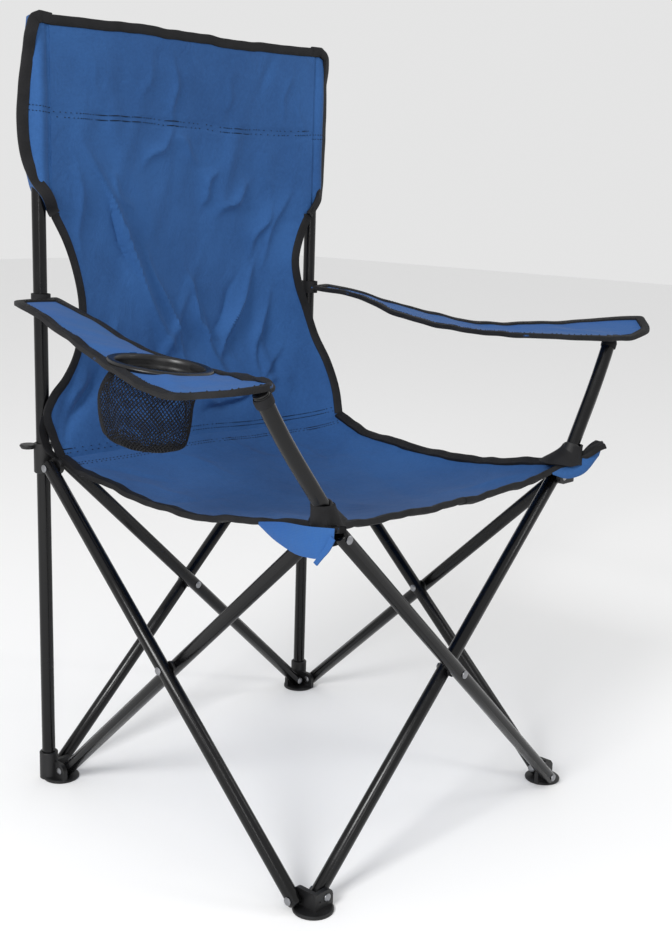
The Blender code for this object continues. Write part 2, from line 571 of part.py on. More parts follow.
rim = -t - GAP
POCKET = ((0.0, 0.0), (0.30, 0.0015), (0.60, 0.0040), (0.85, CUP_R_IN - CUP_R_LOW), (0.96, CUP_R_IN - CUP_R_LOW + 0.004), (1.0, CUP_R_IN - CUP_R_LOW + 0.012))
pocket = swept("cup_pocket", [on_cup_axis(rim - CUP_DEPTH * q) for q, _ in POCKET], [CUP_R_IN - d for _, d in POCKET], 32, root_collection)
lower = CUP_DEPTH - CUP_CLOTH
inside = [(-0.1, 0.0)] + list(POCKET)
boolean(pocket, swept("cup_pocket_inside", [on_cup_axis(rim - lower * q) for q, _ in inside], [CUP_R_IN - CUP_CLOTH - d for _, d in inside], 32, cutters), "DIFFERENCE")
finish(pocket, "mesh_cloth")

for o in list(root_collection.objects) + list(cutters.objects):
    o.location += ORIGIN_SHIFT
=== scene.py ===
"""A quad-fold camp chair: sewn cloth, bound edges, net cup pocket and finished tubes round its jointed
frame."""

import json
import math

import bmesh
import bpy
import numpy as np
from mathutils import Matrix, Vector

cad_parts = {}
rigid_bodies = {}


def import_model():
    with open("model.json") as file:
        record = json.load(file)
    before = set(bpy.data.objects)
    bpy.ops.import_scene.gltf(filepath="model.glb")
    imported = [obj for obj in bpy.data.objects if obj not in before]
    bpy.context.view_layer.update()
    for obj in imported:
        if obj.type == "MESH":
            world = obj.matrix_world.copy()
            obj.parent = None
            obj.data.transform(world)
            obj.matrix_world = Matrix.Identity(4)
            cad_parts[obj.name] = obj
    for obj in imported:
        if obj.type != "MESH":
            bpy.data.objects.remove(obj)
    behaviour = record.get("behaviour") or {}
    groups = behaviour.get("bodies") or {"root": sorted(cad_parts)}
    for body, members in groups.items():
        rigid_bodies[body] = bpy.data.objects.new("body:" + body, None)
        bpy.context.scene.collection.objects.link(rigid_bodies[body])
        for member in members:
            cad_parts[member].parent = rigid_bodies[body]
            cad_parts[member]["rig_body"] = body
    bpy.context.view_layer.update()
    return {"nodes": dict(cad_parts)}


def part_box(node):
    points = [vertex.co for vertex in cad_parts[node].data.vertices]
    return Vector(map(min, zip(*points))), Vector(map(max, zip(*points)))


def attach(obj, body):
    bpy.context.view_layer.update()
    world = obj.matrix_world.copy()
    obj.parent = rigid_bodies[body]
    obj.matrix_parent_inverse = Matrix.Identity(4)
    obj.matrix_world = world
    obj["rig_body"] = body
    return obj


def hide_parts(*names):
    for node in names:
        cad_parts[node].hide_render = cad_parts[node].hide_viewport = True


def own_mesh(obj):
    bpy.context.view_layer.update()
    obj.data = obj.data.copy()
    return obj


bl_info = {
    "name": "Folding camp chair",
    "version": (1, 0, 0),
    "blender": (4, 5, 0),
    "location": "3D View > Sidebar > Camp chair",
    "description": "Makes the cloth, bindings, net pocket and finishes of a quad-fold camp chair",
    "category": "Add Mesh",
}

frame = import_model()
NODES = frame["nodes"]

# ---------------------------------------------------------------- places taken from the frame
BARS = [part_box(name) for name in NODES if name.startswith("bar_")]
LOW = np.min([low for low, _ in BARS], axis=0)
HIGH = np.max([high for _, high in BARS], axis=0)
CENTRE = np.array([(LOW[0] + HIGH[0]) / 2, (LOW[1] + HIGH[1]) / 2,
    0.0])  # of the four corners, on the floor


def middle_of(node):
    """The middle of a CAD node's box, measured from the frame's centre."""
    low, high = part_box(node)
    return (np.array(low) + np.array(high)) / 2 - CENTRE


POST = {-1: middle_of("post_right"), 1: middle_of("post_left")}
SIDE_NAME = {-1: "right", 1: "left"}
BACK_EDGE = 0.2141       # half the back panel's width between its two post sleeves
BACK_Y = 0.2147          # the back panel's plane, just before the posts
CUP = middle_of("cup_ring")
SPAN = 2 * (POST[1][0] - 0.0092)  # from corner to corner: each post stands 9.2 mm outside its corner

# ---------------------------------------------------------------- small tools


def linear(hex_colour):
    """sRGB hex to the linear RGBA that the shaders take."""
    parts = [int(hex_colour[i : i + 2], 16) / 255 for i in (0, 2, 4)]
    return tuple(c / 12.92 if c <= 0.04045 else ((c + 0.055) / 1.055) ** 2.4 for c in parts) + (1.0,)


def node(tree, kind, inputs=None, **settings):
    """Adds one shader node. An input is a value, or the output socket that feeds it."""
    made = tree.nodes.new(kind)
    for name, value in settings.items():
        setattr(made, name, value)
    for name, value in (inputs or {}).items():
        socket = made.inputs[name]
        if isinstance(value, bpy.types.NodeSocket):
            tree.links.new(value, socket)
        else:
            socket.default_value = value
    return made


def sizes():
    return bpy.context.scene.chair_sizes


def colours():
    return bpy.context.scene.chair_colours


def closed_up(line):
    """The line, or a grid's lines, with the first again at the end."""
    return np.concatenate([line, line[:1]])


def unit(vectors):
    """Each vector at length one."""
    return vectors / np.maximum(np.linalg.norm(vectors, axis=-1, keepdims=True), 1e-12)


TINY = 1e-6  # normals shrunk by this ride along with a line that is spaced evenly


def even(line, count):
    """The same line with its points at equal steps along its length."""
    run = np.concatenate([[0], np.cumsum(np.linalg.norm(np.diff(line, axis=0), axis=1))])
    want = np.linspace(0, run[-1], count)
    return np.stack([np.interp(want, run, line[:, a]) for a in range(line.shape[1])], 1)


def smooth_line(points, count):
    """A line through the points in cubic pieces, each point's slope taken from its neighbours, at equal
    steps."""
    p = np.asarray(points, float)
    gap = np.linalg.norm(np.diff(p, axis=0), axis=1)
    at = np.concatenate([[0], np.cumsum(gap)])
    slope = np.gradient(p, at, axis=0)
    t = np.linspace(0, at[-1], 60 * len(p))
    k = np.clip(np.searchsorted(at, t, side="right") - 1, 0, len(p) - 2)
    h = gap[k][:, None]
    s = ((t - at[k]) / gap[k])[:, None]
    ahead, behind = (3 - 2 * s) * s**2, (s - 1) ** 2 * s * h
    dense = (1 - ahead) * p[k] + behind * slope[k] + ahead * p[k + 1] + (s - 1) * s**2 * h * slope[k + 1]
    return even(dense, count)


def ripple(t, seed, waves=(4, 9, 15)):
    """A gentle uneven wave: sines of several counts along t, with seeded phases, about one high."""
    phases = np.random.default_rng(seed).random(len(waves))
    return sum(np.sin(2 * np.pi * (w * t + p)) / (k + 1) for k,
        (w, p) in enumerate(zip(waves, phases))) / 1.7


def coons(right, left, low, high):
    """The patch between four edge lines: the two ruled surfaces added, less the flat one through the
    corners."""
    u = np.linspace(0, 1, len(low))[:, None, None]
    v = np.linspace(0, 1, len(right))[None, :, None]
    corners = (1 - u) * ((1 - v) * low[0] + v * high[0]) + u * ((1 - v) * low[-1] + v * high[-1])
    return (1 - u) * right[None] + u * left[None] + (1 - v) * low[:, None] + v * high[:, None] - corners


def on_grid(grid, a, b):
    """Points at fractions a across and b along a grid, between its four nearest points."""
    n, m = grid.shape[:2]
    x, y = np.clip(a, 0, 1) * (n - 1), np.clip(b, 0, 1) * (m - 1)
    i, j = np.minimum(x.astype(int), n - 2), np.minimum(y.astype(int), m - 2)
    x, y = (x - i)[..., None], (y - j)[..., None]
    near = grid[i, j] * (1 - x) + grid[i + 1, j] * x
    far = grid[i, j + 1] * (1 - x) + grid[i + 1, j + 1] * x
    return near * (1 - y) + far * y


def grid_normals(grid, wrap=False):
    """The unit normal at each grid point: the step across crossed with the step along."""
    if wrap:
        across = np.roll(grid, -1, 0) - np.roll(grid, 1, 0)
    else:
        across = np.gradient(grid, axis=0)
    return unit(np.cross(across, np.gradient(grid, axis=1)))


def grid_faces(n, m, wrap_n=False, wrap_m=False):
    """Quads between neighbouring points of an n by m grid, joined round where it wraps."""
    i = np.arange(n if wrap_n else n - 1)[:, None]
    j = np.arange(m if wrap_m else m - 1)[None, :]
    i2, j2 = (i + 1) % n, (j + 1) % m
    return np.stack([i * m + j, i2 * m + j, i2 * m + j2, i * m + j2], -1).reshape(-1, 4)


def lengths_map(grid):
    """For each grid point, how far it is across and along the cloth, in metres: the weave's own
    coordinates."""
    u = np.zeros(grid.shape[:2])
    v = np.zeros(grid.shape[:2])
    u[1:] = np.cumsum(np.linalg.norm(np.diff(grid, axis=0), axis=-1), 0)
    v[:, 1:] = np.cumsum(np.linalg.norm(np.diff(grid, axis=1), axis=-1), 1)
    return np.stack([u - u[len(u) // 2], v], -1).reshape(-1, 2)


def piece(name, points, faces, material, body, uv=None, sharp=50):
    """A mesh object from arrays measured from the frame's centre, smooth but for edges over the sharp
    angle."""
    points = np.asarray(points, float).reshape(-1, 3) + CENTRE
    mesh = bpy.data.meshes.new(name)
    mesh.from_pydata(points.tolist(), [], [list(map(int, f)) for f in faces])
    mesh.update()
    if uv is not None:
        layer = mesh.uv_layers.new(name="cloth")
        corner = np.empty(len(mesh.loops), np.int32)
        mesh.loops.foreach_get("vertex_index", corner)
        layer.data.foreach_set("uv", np.asarray(uv, np.float32).reshape(-1, 2)[corner].ravel())
    mesh.shade_smooth()
    mesh.set_sharp_from_angle(angle=math.radians(sharp))
    mesh.materials.append(material)
    made = bpy.data.objects.new(name, mesh)
    bpy.context.scene.collection.objects.link(made)
    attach(made, body)
    return made


def cloth_piece(name, grid, thickness, material, body, keep=None, wrap=False):
    """A sheet with thickness: the grid moved half of it out each way along its normals, walled round
    every open edge. keep masks which cells are cloth, so that a hole can be cut."""
    n, m = grid.shape[:2]
    out = grid_normals(grid, wrap) * thickness / 2
    faces = grid_faces(n, m, wrap_n=wrap)
    if keep is not None:
        faces = faces[keep.reshape(-1)]
    ends = np.concatenate([faces[:, [k, (k + 1) % 4]] for k in range(4)])
    count = n * m
    key, back = ends[:, 0] * count + ends[:, 1], ends[:, 1] * count + ends[:, 0]
    rim = ends[~np.isin(back, key)]
    walls = np.stack([rim[:, 1], rim[:, 0], rim[:, 0] + count, rim[:, 1] + count], -1)
    every = np.concatenate([faces, faces[:, ::-1] + count, walls])
    points = np.concatenate([(grid + out).reshape(-1, 3), (grid - out).reshape(-1, 3)])
    flat = lengths_map(grid)
    used, index = np.unique(every, return_inverse=True)
    return piece(name, points[used], index.reshape(every.shape), material, body,
        np.concatenate([flat, flat])[used])


def tape(name, edge, inward, normal, body, wider=1.0, thicker=1.0, closed=False):
    """Binding tape folded over an edge: a flat rounded profile carried along it, reaching inwards on
    both faces."""
    width, thick = sizes().binding_width * wider, sizes().binding_thickness * thicker
    across = np.array([-0.10, -0.07, 0.12, 0.55, 0.94, 1.0, 1.0, 0.94, 0.55, 0.12, -0.07]) * width
    up = np.array([0.0, 0.75, 1.0, 0.95, 0.9, 0.5, -0.5, -0.9, -0.95, -1.0, -0.75]) * thick
    rings = edge[:, None] + across[None, :, None] * inward[:, None] + up[None, :, None] * normal[:, None]
    n, k = rings.shape[:2]
    faces = [list(f) for f in grid_faces(n, k, closed, True)]
    if not closed:
        faces += [list(range(k - 1, -1, -1)), list(range((n - 1) * k, n * k))]
    run = np.concatenate([[0], np.cumsum(np.linalg.norm(np.diff(edge, axis=0), axis=1))])
    uv = np.stack(np.broadcast_arrays(run[:, None], across[None, :]), -1)
    made = piece(name, rings, faces, finish_of("binding"), body, uv)
    outwards(made)
    return made


def webbing(name, grid, thickness, body, wrap=False):
    """Black webbing: a sheet in the binding's finish."""
    return cloth_piece(name, grid, thickness, finish_of("binding"), body, wrap=wrap)


def outwards(made):
    """Turns the faces of a closed mesh outwards."""
    shape = bmesh.new()
    shape.from_mesh(made.data)
    bmesh.ops.recalc_face_normals(shape, faces=shape.faces)
    shape.to_mesh(made.data)
    shape.free()


def edge_frame(edge, normal, towards, closed=False):
    """The way into the cloth along an edge line: across both the line and the normal, on the side of
    towards."""
    if closed:
        along = np.roll(edge, -1, 0) - np.roll(edge, 1, 0)
    else:
        along = np.gradient(edge, axis=0)
    inward = unit(np.cross(normal, along))
    side = np.sign(((towards - edge) * inward).sum(-1, keepdims=True).sum())
    return inward * (side if side else 1)


def hoop(name, line, radius, sides, body):
    """A round section carried along a closed line that lies in a plane."""
    along = unit(np.roll(line, -1, 0) - np.roll(line, 1, 0))
    first = unit(np.cross(along, [0.0, 0.0, 1.0]))
    second = np.cross(along, first)
    turn = np.linspace(0, 2 * np.pi, sides, endpoint=False)[None, :, None]
    rings = line[:, None] + radius * (np.cos(turn) * first[:, None] + np.sin(turn) * second[:, None])
    made = piece(name, rings, grid_faces(len(line), sides, True, True), finish_of("binding"),
        body)
    outwards(made)
    return made


def stitches(name, lines, body, length=0.0025, wide=0.00065):
    """Running stitches: small low beads at equal steps along each (line, normal), four-sided and
    pointed at both ends."""
    points, faces, start = [], [], 0
    for line, normal in lines:
        total = np.linalg.norm(np.diff(line, axis=0), axis=1).sum()
        count = max(int(total / sizes().stitch_step), 2)
        track = even(np.concatenate([line, normal], 1), 2 * count + 1)
        mid, up = track[1::2, :3], unit(track[1::2, 3:])
        along = unit(track[2::2, :3] - track[:-1:2, :3])
        side = np.cross(along, up)
        ring = np.stack([mid + side * wide, mid + up * wide * 1.6, mid - side * wide,
            mid - up * wide * 0.5], 1)
        ends = np.stack([mid - along * length / 2, mid + along * length / 2], 1)
        block = np.concatenate([ring, ends], 1)
        base = start + 6 * np.arange(count)[:, None, None]
        shape = np.array([[0, 1, 5], [1, 2, 5], [2, 3, 5], [3, 0, 5], [1, 0, 4], [2, 1, 4], [3, 2, 4],
            [0, 3, 4]])
        points.append(block.reshape(-1, 3))
        faces.append((base + shape[None]).reshape(-1, 3))
        start += 6 * count
    made = piece(name, np.concatenate(points), np.concatenate(faces), finish_of("binding"), body,
        sharp=80)
    outwards(made)
    return made


def stitch_row(grid, normal, a, b):
    """The line and normals of a row of stitches at fractions a across and b along a cloth's grid, just
    off its face."""
    up = on_grid(normal, a, b)
    return on_grid(grid, a, b) + up * 0.0006, unit(up)


def folds_with(made):
    """Gives a cloth piece a mesh of its own."""
    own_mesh(made)


def crease_heights(x, z, creases):
    """How far cloth stands out at (x, z): each crease is a ridge along a line, sharp on one flank and
    longer on the other, fading towards its two ends."""
    height = np.zeros_like(x)
    for x0, z0, x1, z1, width, tall in creases:
        dx, dz = x1 - x0, z1 - z0
        length = math.hypot(dx, dz)
        run = ((x - x0) * dx + (z - z0) * dz) / length
        t = np.clip(run / length, 0, 1)
        d = ((x - x0) * dz - (z - z0) * dx) / length + 0.004 * np.sin(t * 7 + x0 * 40)
        beyond = np.maximum(run - length, 0) + np.maximum(-run, 0)
        flank = np.where(d > 0, d / width, -d / (width * 0.45))
        ridge = np.exp(-np.sqrt(flank**2 + 0.02) + 0.14) * np.sin(np.pi * (0.06 + 0.88 * t)) ** 0.8
        height += tall * ridge * np.exp(-beyond / 0.01)
    return height


def crumple(x, z, seed, count=26, reach=0.09):
    """Slack cloth's small unevenness: many short soft ridges at seeded places and angles, mostly
    upright."""
    rng = np.random.default_rng(seed)
    height = np.zeros_like(x)
    low, high = np.array([x.min(), z.min()]), np.array([x.max(), z.max()])
    places = low + rng.random((count, 2)) * (high - low)
    angles = rng.normal(1.45, 0.55, count)
    lengths = reach * (0.5 + rng.random(count))
    widths = 0.007 + 0.014 * rng.random(count)
    heights = rng.normal(0, 0.0009, count)
    for place, angle, long, wide, tall in zip(places, angles, lengths, widths, heights):
        c, s = math.cos(angle), math.sin(angle)
        run = ((x - place[0]) * c + (z - place[1]) * s) / long
        off = ((x - place[0]) * s - (z - place[1]) * c) / wide
        height += tall * np.exp(-(run**2) - off**2)
    return height


# ---------------------------------------------------------------- finishes


BANDS_PER_METRE = 0.314159  # a wave texture at this scale repeats once a metre
DRAWN_THREADS = 0.0015
DRAWN_RIBS = 0.0014


def surface(name):
    """A new material, its tree and its Principled shader."""
    made = bpy.data.materials.new(name)
    made.use_nodes = True
    return made, made.node_tree, made.node_tree.nodes["Principled BSDF"]


def shader_settings(shader, **values):
    """Sets the shader's own sockets, named with underscores for spaces."""
    for name, value in values.items():
        shader.inputs[name.replace("_", " ")].default_value = value


def tinted(colour, times):
    """The colour, so many times as bright."""
    return tuple(c * times for c in colour[:3]) + (1.0,)


def two_tone(tree, source, dark, light):
    """A ramp from one (position, colour) to another, fed by a 0 to 1 pattern."""
    ramp = node(tree, "ShaderNodeValToRGB", {"Fac": source})
    for stop, (position, colour) in zip(ramp.color_ramp.elements, (dark, light)):
        stop.position, stop.color = position, colour
    return ramp


def woven_polyester(name, colour, shade):
    """600-denier plain-weave polyester, piece-dyed and coated behind: a dull, slightly sheened cloth
    whose threads show as a fine grid, with painted shade in the grooves between them and painted light on
    their tops, and whose dye wanders a little. The real threads are 0.5 mm apart; they are drawn 1.5 mm
    apart so that they show."""
    made, tree, shader = surface(name)
    threads = node(tree, "ShaderNodeUVMap", uv_map="cloth")
    bands = [
        node(tree, "ShaderNodeTexWave",
        {"Vector": threads.outputs["UV"], "Scale": BANDS_PER_METRE / DRAWN_THREADS, "Distortion": 0.6,
        "Detail": 1.0, "Detail Scale": 0.6},
             wave_type="BANDS", bands_direction=way)
        for way in ("X", "Y")
    ]
    weave = node(tree, "ShaderNodeMath", {0: bands[0].outputs["Fac"], 1: bands[1].outputs["Fac"]},
        operation="MULTIPLY")
    place = node(tree, "ShaderNodeTexCoord")
    clouds = node(tree, "ShaderNodeTexNoise",
        {"Vector": place.outputs["Object"], "Scale": 7.0, "Detail": 5.0, "Roughness": 0.62})
    slubs = node(tree, "ShaderNodeTexNoise",
        {"Vector": place.outputs["Object"], "Scale": 260.0, "Detail": 2.0})
    dye = node(tree, "ShaderNodeMath", {0: clouds.outputs["Fac"], 1: 0.75}, operation="MULTIPLY")
    dye = node(tree, "ShaderNodeMath", {0: slubs.outputs["Fac"], 1: 0.25, 2: dye.outputs[0]},
        operation="MULTIPLY_ADD")
    ramp = two_tone(tree, dye.outputs[0], (0.36, shade), (0.64, colour))
    # Painted light and shade: the colour darkened in the grooves between threads and lightened on their tops,
    # following the bump's pattern
    weave_light_and_shade = node(tree, "ShaderNodeMapRange",
        {"Value": weave.outputs[0], "To Min": 0.86, "To Max": 1.04})
    colour_out = node(tree, "ShaderNodeVectorMath",
        {0: ramp.outputs["Color"], "Scale": weave_light_and_shade.outputs[0]}, operation="SCALE")
    tree.links.new(colour_out.outputs[0], shader.inputs["Base Color"])
    rumple = node(tree, "ShaderNodeTexNoise",
        {"Vector": place.outputs["Object"], "Scale": 26.0, "Detail": 6.0, "Roughness": 0.55,
        "Distortion": 0.8})
    soft = node(tree, "ShaderNodeBump",
        {"Height": rumple.outputs["Fac"], "Strength": 0.35, "Distance": 0.006})
    fine = node(tree, "ShaderNodeBump", {"Height": weave.outputs[0], "Strength": 0.30, "Distance": 0.0003,
        "Normal": soft.outputs["Normal"]})
    tree.links.new(fine.outputs["Normal"], shader.inputs["Normal"])
    shader_settings(shader, Roughness=0.8, Sheen_Weight=0.03, Sheen_Roughness=0.5, IOR=1.46,
        Specular_IOR_Level=0.18)
    return made


def grosgrain_tape(name, colour):
    """Black polyester grosgrain tape: dull, with fine cross ribs 0.8 mm apart, drawn 1.4 mm apart so
    that they show."""
    made, tree, shader = surface(name)
    along = node(tree, "ShaderNodeUVMap", uv_map="cloth")
    ribs = node(tree, "ShaderNodeTexWave",
        {"Vector": along.outputs["UV"], "Scale": BANDS_PER_METRE / DRAWN_RIBS, "Distortion": 0.4,
        "Detail": 1.0}, wave_type="BANDS", bands_direction="X")
    place = node(tree, "ShaderNodeTexCoord")
    rub = node(tree, "ShaderNodeTexNoise",
        {"Vector": place.outputs["Object"], "Scale": 45.0, "Detail": 4.0})
    ramp = two_tone(tree, rub.outputs["Fac"], (0.35, tinted(colour, 0.7)), (0.75, tinted(colour, 1.7)))
    tree.links.new(ramp.outputs["Color"], shader.inputs["Base Color"])
    uneven = node(tree, "ShaderNodeBump",
        {"Height": rub.outputs["Fac"], "Strength": 0.4, "Distance": 0.002})
    ribbed = node(tree, "ShaderNodeBump",
        {"Height": ribs.outputs["Fac"], "Strength": 0.5, "Distance": 0.0003,
        "Normal": uneven.outputs["Normal"]})
    tree.links.new(ribbed.outputs["Normal"], shader.inputs["Normal"])
    shader_settings(shader, Roughness=0.66, Specular_IOR_Level=0.25)
    return made


def powder_coat(name, colour):
    """Gloss black powder coat on steel tube: a hard shine broken by orange peel about 1 mm across, a
    few dull rubs."""
    made, tree, shader = surface(name)
    place = node(tree, "ShaderNodeTexCoord")
    peel = node(tree, "ShaderNodeTexNoise",
        {"Vector": place.outputs["Object"], "Scale": 700.0, "Detail": 2.0})
    rubs = node(tree, "ShaderNodeTexNoise",
        {"Vector": place.outputs["Object"], "Scale": 18.0, "Detail": 6.0, "Roughness": 0.7})
    dull = node(tree, "ShaderNodeMapRange", {"Value": rubs.outputs["Fac"], "From Min": 0.3, "From Max": 0.8,
        "To Min": 0.15, "To Max": 0.34})
    tree.links.new(dull.outputs[0], shader.inputs["Roughness"])
    ramp = two_tone(tree, rubs.outputs["Fac"], (0.4, colour), (0.8, tinted(colour, 1.6)))
    tree.links.new(ramp.outputs["Color"], shader.inputs["Base Color"])
    bump = node(tree, "ShaderNodeBump",
        {"Height": peel.outputs["Fac"], "Strength": 0.12, "Distance": 0.0004})
    tree.links.new(bump.outputs["Normal"], shader.inputs["Normal"])
    shader_settings(shader, IOR=1.5, Specular_IOR_Level=0.3)
    return made


def moulded_nylon(name, colour, rough=0.5):
    """Black moulded nylon: satin, with the fine grain that a spark-eroded mould leaves, 0.4 mm across
    and drawn 0.9 mm."""
    made, tree, shader = surface(name)
    place = node(tree, "ShaderNodeTexCoord")
    grain = node(tree, "ShaderNodeTexNoise",
        {"Vector": place.outputs["Object"], "Scale": 1100.0, "Detail": 1.0})
    scuff = node(tree, "ShaderNodeTexNoise",
        {"Vector": place.outputs["Object"], "Scale": 60.0, "Detail": 5.0})
    ramp = two_tone(tree, scuff.outputs["Fac"], (0.4, colour), (0.85, tinted(colour, 2.2)))
    tree.links.new(ramp.outputs["Color"], shader.inputs["Base Color"])
    spread = node(tree, "ShaderNodeMapRange",
        {"Value": scuff.outputs["Fac"], "To Min": rough - 0.12, "To Max": rough + 0.12})
    tree.links.new(spread.outputs[0], shader.inputs["Roughness"])
    bump = node(tree, "ShaderNodeBump",
        {"Height": grain.outputs["Fac"], "Strength": 0.15, "Distance": 0.0003})
    tree.links.new(bump.outputs["Normal"], shader.inputs["Normal"])
    shader_settings(shader, IOR=1.53, Specular_IOR_Level=0.35)
    return made


def zinc_plate(name, colour):
    """Bright zinc-plated steel: a soft metal shine with faint clouding and handling marks."""
    made, tree, shader = surface(name)
    place = node(tree, "ShaderNodeTexCoord")
    cloud = node(tree, "ShaderNodeTexNoise",
        {"Vector": place.outputs["Object"], "Scale": 420.0, "Detail": 4.0})
    spread = node(tree, "ShaderNodeMapRange",
        {"Value": cloud.outputs["Fac"], "To Min": 0.22, "To Max": 0.48})
    tree.links.new(spread.outputs[0], shader.inputs["Roughness"])
    shader_settings(shader, Base_Color=colour, Metallic=1.0)
    return made


def knotted_cord(name, colour):
    """Thin black polyester net cord: dull, with the twist of its two strands as a fine bump."""
    made, tree, shader = surface(name)
    place = node(tree, "ShaderNodeTexCoord")
    twist = node(tree, "ShaderNodeTexNoise",
        {"Vector": place.outputs["Object"], "Scale": 900.0, "Detail": 2.0})
    ramp = two_tone(tree, twist.outputs["Fac"], (0.0, tinted(colour, 0.6)), (1.0, tinted(colour, 2.0)))
    tree.links.new(ramp.outputs["Color"], shader.inputs["Base Color"])
    bump = node(tree, "ShaderNodeBump",
        {"Height": twist.outputs["Fac"], "Strength": 0.4, "Distance": 0.0003})
    tree.links.new(bump.outputs["Normal"], shader.inputs["Normal"])
    shader_settings(shader, Roughness=0.7, Specular_IOR_Level=0.25)
    return made


MADE = {}


def finish_of(name):
    """One of the chair's finishes, made the first time that it is asked for."""
    if name not in MADE:
        dye = {key: tuple(getattr(colours(), key)) + (1,) for key in ChairColours.__annotations__}
        makers = {
            "cloth": (woven_polyester, "Woven polyester, blue", dye["cloth"], dye["cloth_shade"]),
            # A copy of the cloth with painted light: its own colour for parts that look brighter or darker as
            # they are lit
            "cloth_light": (woven_polyester, "Woven polyester, lit side", dye["cloth_light"], dye["cloth"]),
            "binding": (grosgrain_tape, "Grosgrain binding tape, black", dye["binding"]),
            "tube": (powder_coat, "Powder-coated steel tube, gloss black", dye["tube"]),
            "plastic": (moulded_nylon, "Moulded nylon, black", dye["plastic"]),
            "ring": (moulded_nylon, "Moulded cup ring, satin black", dye["plastic"], 0.34),
            "rivet": (zinc_plate, "Zinc-plated steel rivet", dye["rivet"]),
            "net": (knotted_cord, "Net cord, black", dye["net"]),
        }
        maker, *given = makers[name]
        MADE[name] = maker(*given)
    return MADE[name]


# ---------------------------------------------------------------- settings that a user would change


def length_setting(name, description, default, low, high):
    return bpy.props.FloatProperty(
        name=name, description=description, default=default, unit="LENGTH", min=low, max=high)


class ChairSizes(bpy.types.PropertyGroup):
    cloth_thickness: length_setting(
        "Cloth thickness", "Thickness of the seat, back and armrest cloth", 0.0009, 0.0003, 0.003)
    binding_width: length_setting(
        "Binding width", "How far the tape reaches in from an edge", 0.0105, 0.004, 0.02)
    binding_thickness: length_setting(
        "Binding half thickness", "How far the tape stands off the cloth's middle", 0.0016, 0.0006, 0.003)
    stitch_step: length_setting(
        "Stitch step", "Distance from one stitch to the next", 0.0036, 0.001, 0.01)
    back_low: length_setting(
        "Bottom of the post sleeves", "Height at which the cloth leaves the rear posts", 0.684, 0.5, 0.8)
    pocket_depth: length_setting(
        "Net pocket depth", "From the cup ring to the pocket's bottom", 0.083, 0.05, 0.12)
    pocket_radius: length_setting(
        "Net pocket radius", "Radius of the pocket at its widest", 0.0485, 0.03, 0.06)
    net_strands: bpy.props.IntProperty(
        name="Net strands", description="Cords in each direction round the pocket", default=66, min=16,
        max=120)
    edge_rounding: length_setting(
        "Plastic edge rounding", "Rounding of the moulded pieces' edges", 0.0008, 0.0, 0.002)


def colour_setting(name, description, hex_colour):
    return bpy.props.FloatVectorProperty(
        name=name, description=description, subtype="COLOR", size=3, min=0, max=1,
        default=linear(hex_colour)[:3])


class ChairColours(bpy.types.PropertyGroup):
    cloth: colour_setting("Cloth", "Dyed cloth", "315B92")
    cloth_shade: colour_setting("Cloth, darker dye", "The darker end of the dye's wander", "294F82")
    # Painted light: a copy of the cloth colour set to how bright the armrests and the right flap look lit,
    # with the light that shines through thin cloth painted in
    cloth_light: colour_setting("Cloth, armrests", "Armrests and flaps, which let light through", "2A5796")
    binding: colour_setting("Binding", "Edge tape, patches and straps", "101012")
    tube: colour_setting("Tubes", "Powder coat", "060607")
    plastic: colour_setting("Plastic", "Feet, sliders, connectors and cup ring", "0E0E0F")
    rivet: colour_setting("Rivets", "Zinc plate", "8E8F92")
    net: colour_setting("Net", "Cup pocket cord", "0C0D11")


class ChairPiece:
    bl_options = {"REGISTER", "UNDO"}

    def execute(self, context):
        """Makes the piece. A failure raises, so that the run stops."""
        self.make()
        return {"FINISHED"}


# ---------------------------------------------------------------- frame


class CHAIR_OT_tubes(ChairPiece, bpy.types.Operator):
    """Bars, posts and arm tubes: the frame's own shapes, joined up smooth and powder-coated"""

    bl_idname = "chair.tubes"
    bl_label = "Frame tubes"

    def make(self):
        for name in NODES:
            if name.startswith(("bar_", "arm_tube", "post_right", "post_left")):
                finished_copy(name, finish_of("tube"), 35)


class CHAIR_OT_fittings(ChairPiece, bpy.types.Operator):
    """Feet, sliders, connectors, spacers and end caps: the frame's own shapes with moulded, rounded
    edges"""

    bl_idname = "chair.fittings"
    bl_label = "Moulded fittings"

    def make(self):
        for name in NODES:
            if name.startswith(("foot_", "slider_", "connector_", "spacer_", "post_cap", "arm_cap")):
                large = name.startswith(("foot_", "slider_", "connector_"))
                rounding = sizes().edge_rounding * (1.0 if large else 0.4)
                finished_copy(name, finish_of("plastic"), 38, rounding)


class CHAIR_OT_rivets(ChairPiece, bpy.types.Operator):
    """Rivets: a shank with a domed head at one end and a rolled head at the other"""

    bl_idname = "chair.rivets"
    bl_label = "Rivets"

    def make(self):
        for name in [n for n in NODES if n.startswith("rivet_")]:
            rivet(name)


def finished_copy(name, material, sharp, rounding=0.0):
    """The node's shape with its points merged, its edges rounded over the sharp angle, standing in for
    the node."""
    source = NODES[name]
    mesh = source.data.copy()
    shape = bmesh.new()
    shape.from_mesh(mesh)
    bmesh.ops.remove_doubles(shape, verts=shape.verts, dist=1e-5)
    bmesh.ops.dissolve_limit(shape, angle_limit=math.radians(1.0), verts=shape.verts, edges=shape.edges)
    shape.to_mesh(mesh)
    shape.free()
    mesh.materials.clear()
    mesh.materials.append(material)
    mesh.shade_smooth()
    mesh.set_sharp_from_angle(angle=math.radians(sharp))
    made = bpy.data.objects.new(name + "_finished", mesh)
    bpy.context.scene.collection.objects.link(made)
    if rounding:
        edge = made.modifiers.new("Rounded edges", "BEVEL")
        edge.width, edge.segments, edge.limit_method = rounding, 2, "ANGLE"
        edge.angle_limit, edge.use_clamp_overlap, edge.harden_normals = math.radians(sharp), True, False
    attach(made, source["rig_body"])
    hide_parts(name)
    return made


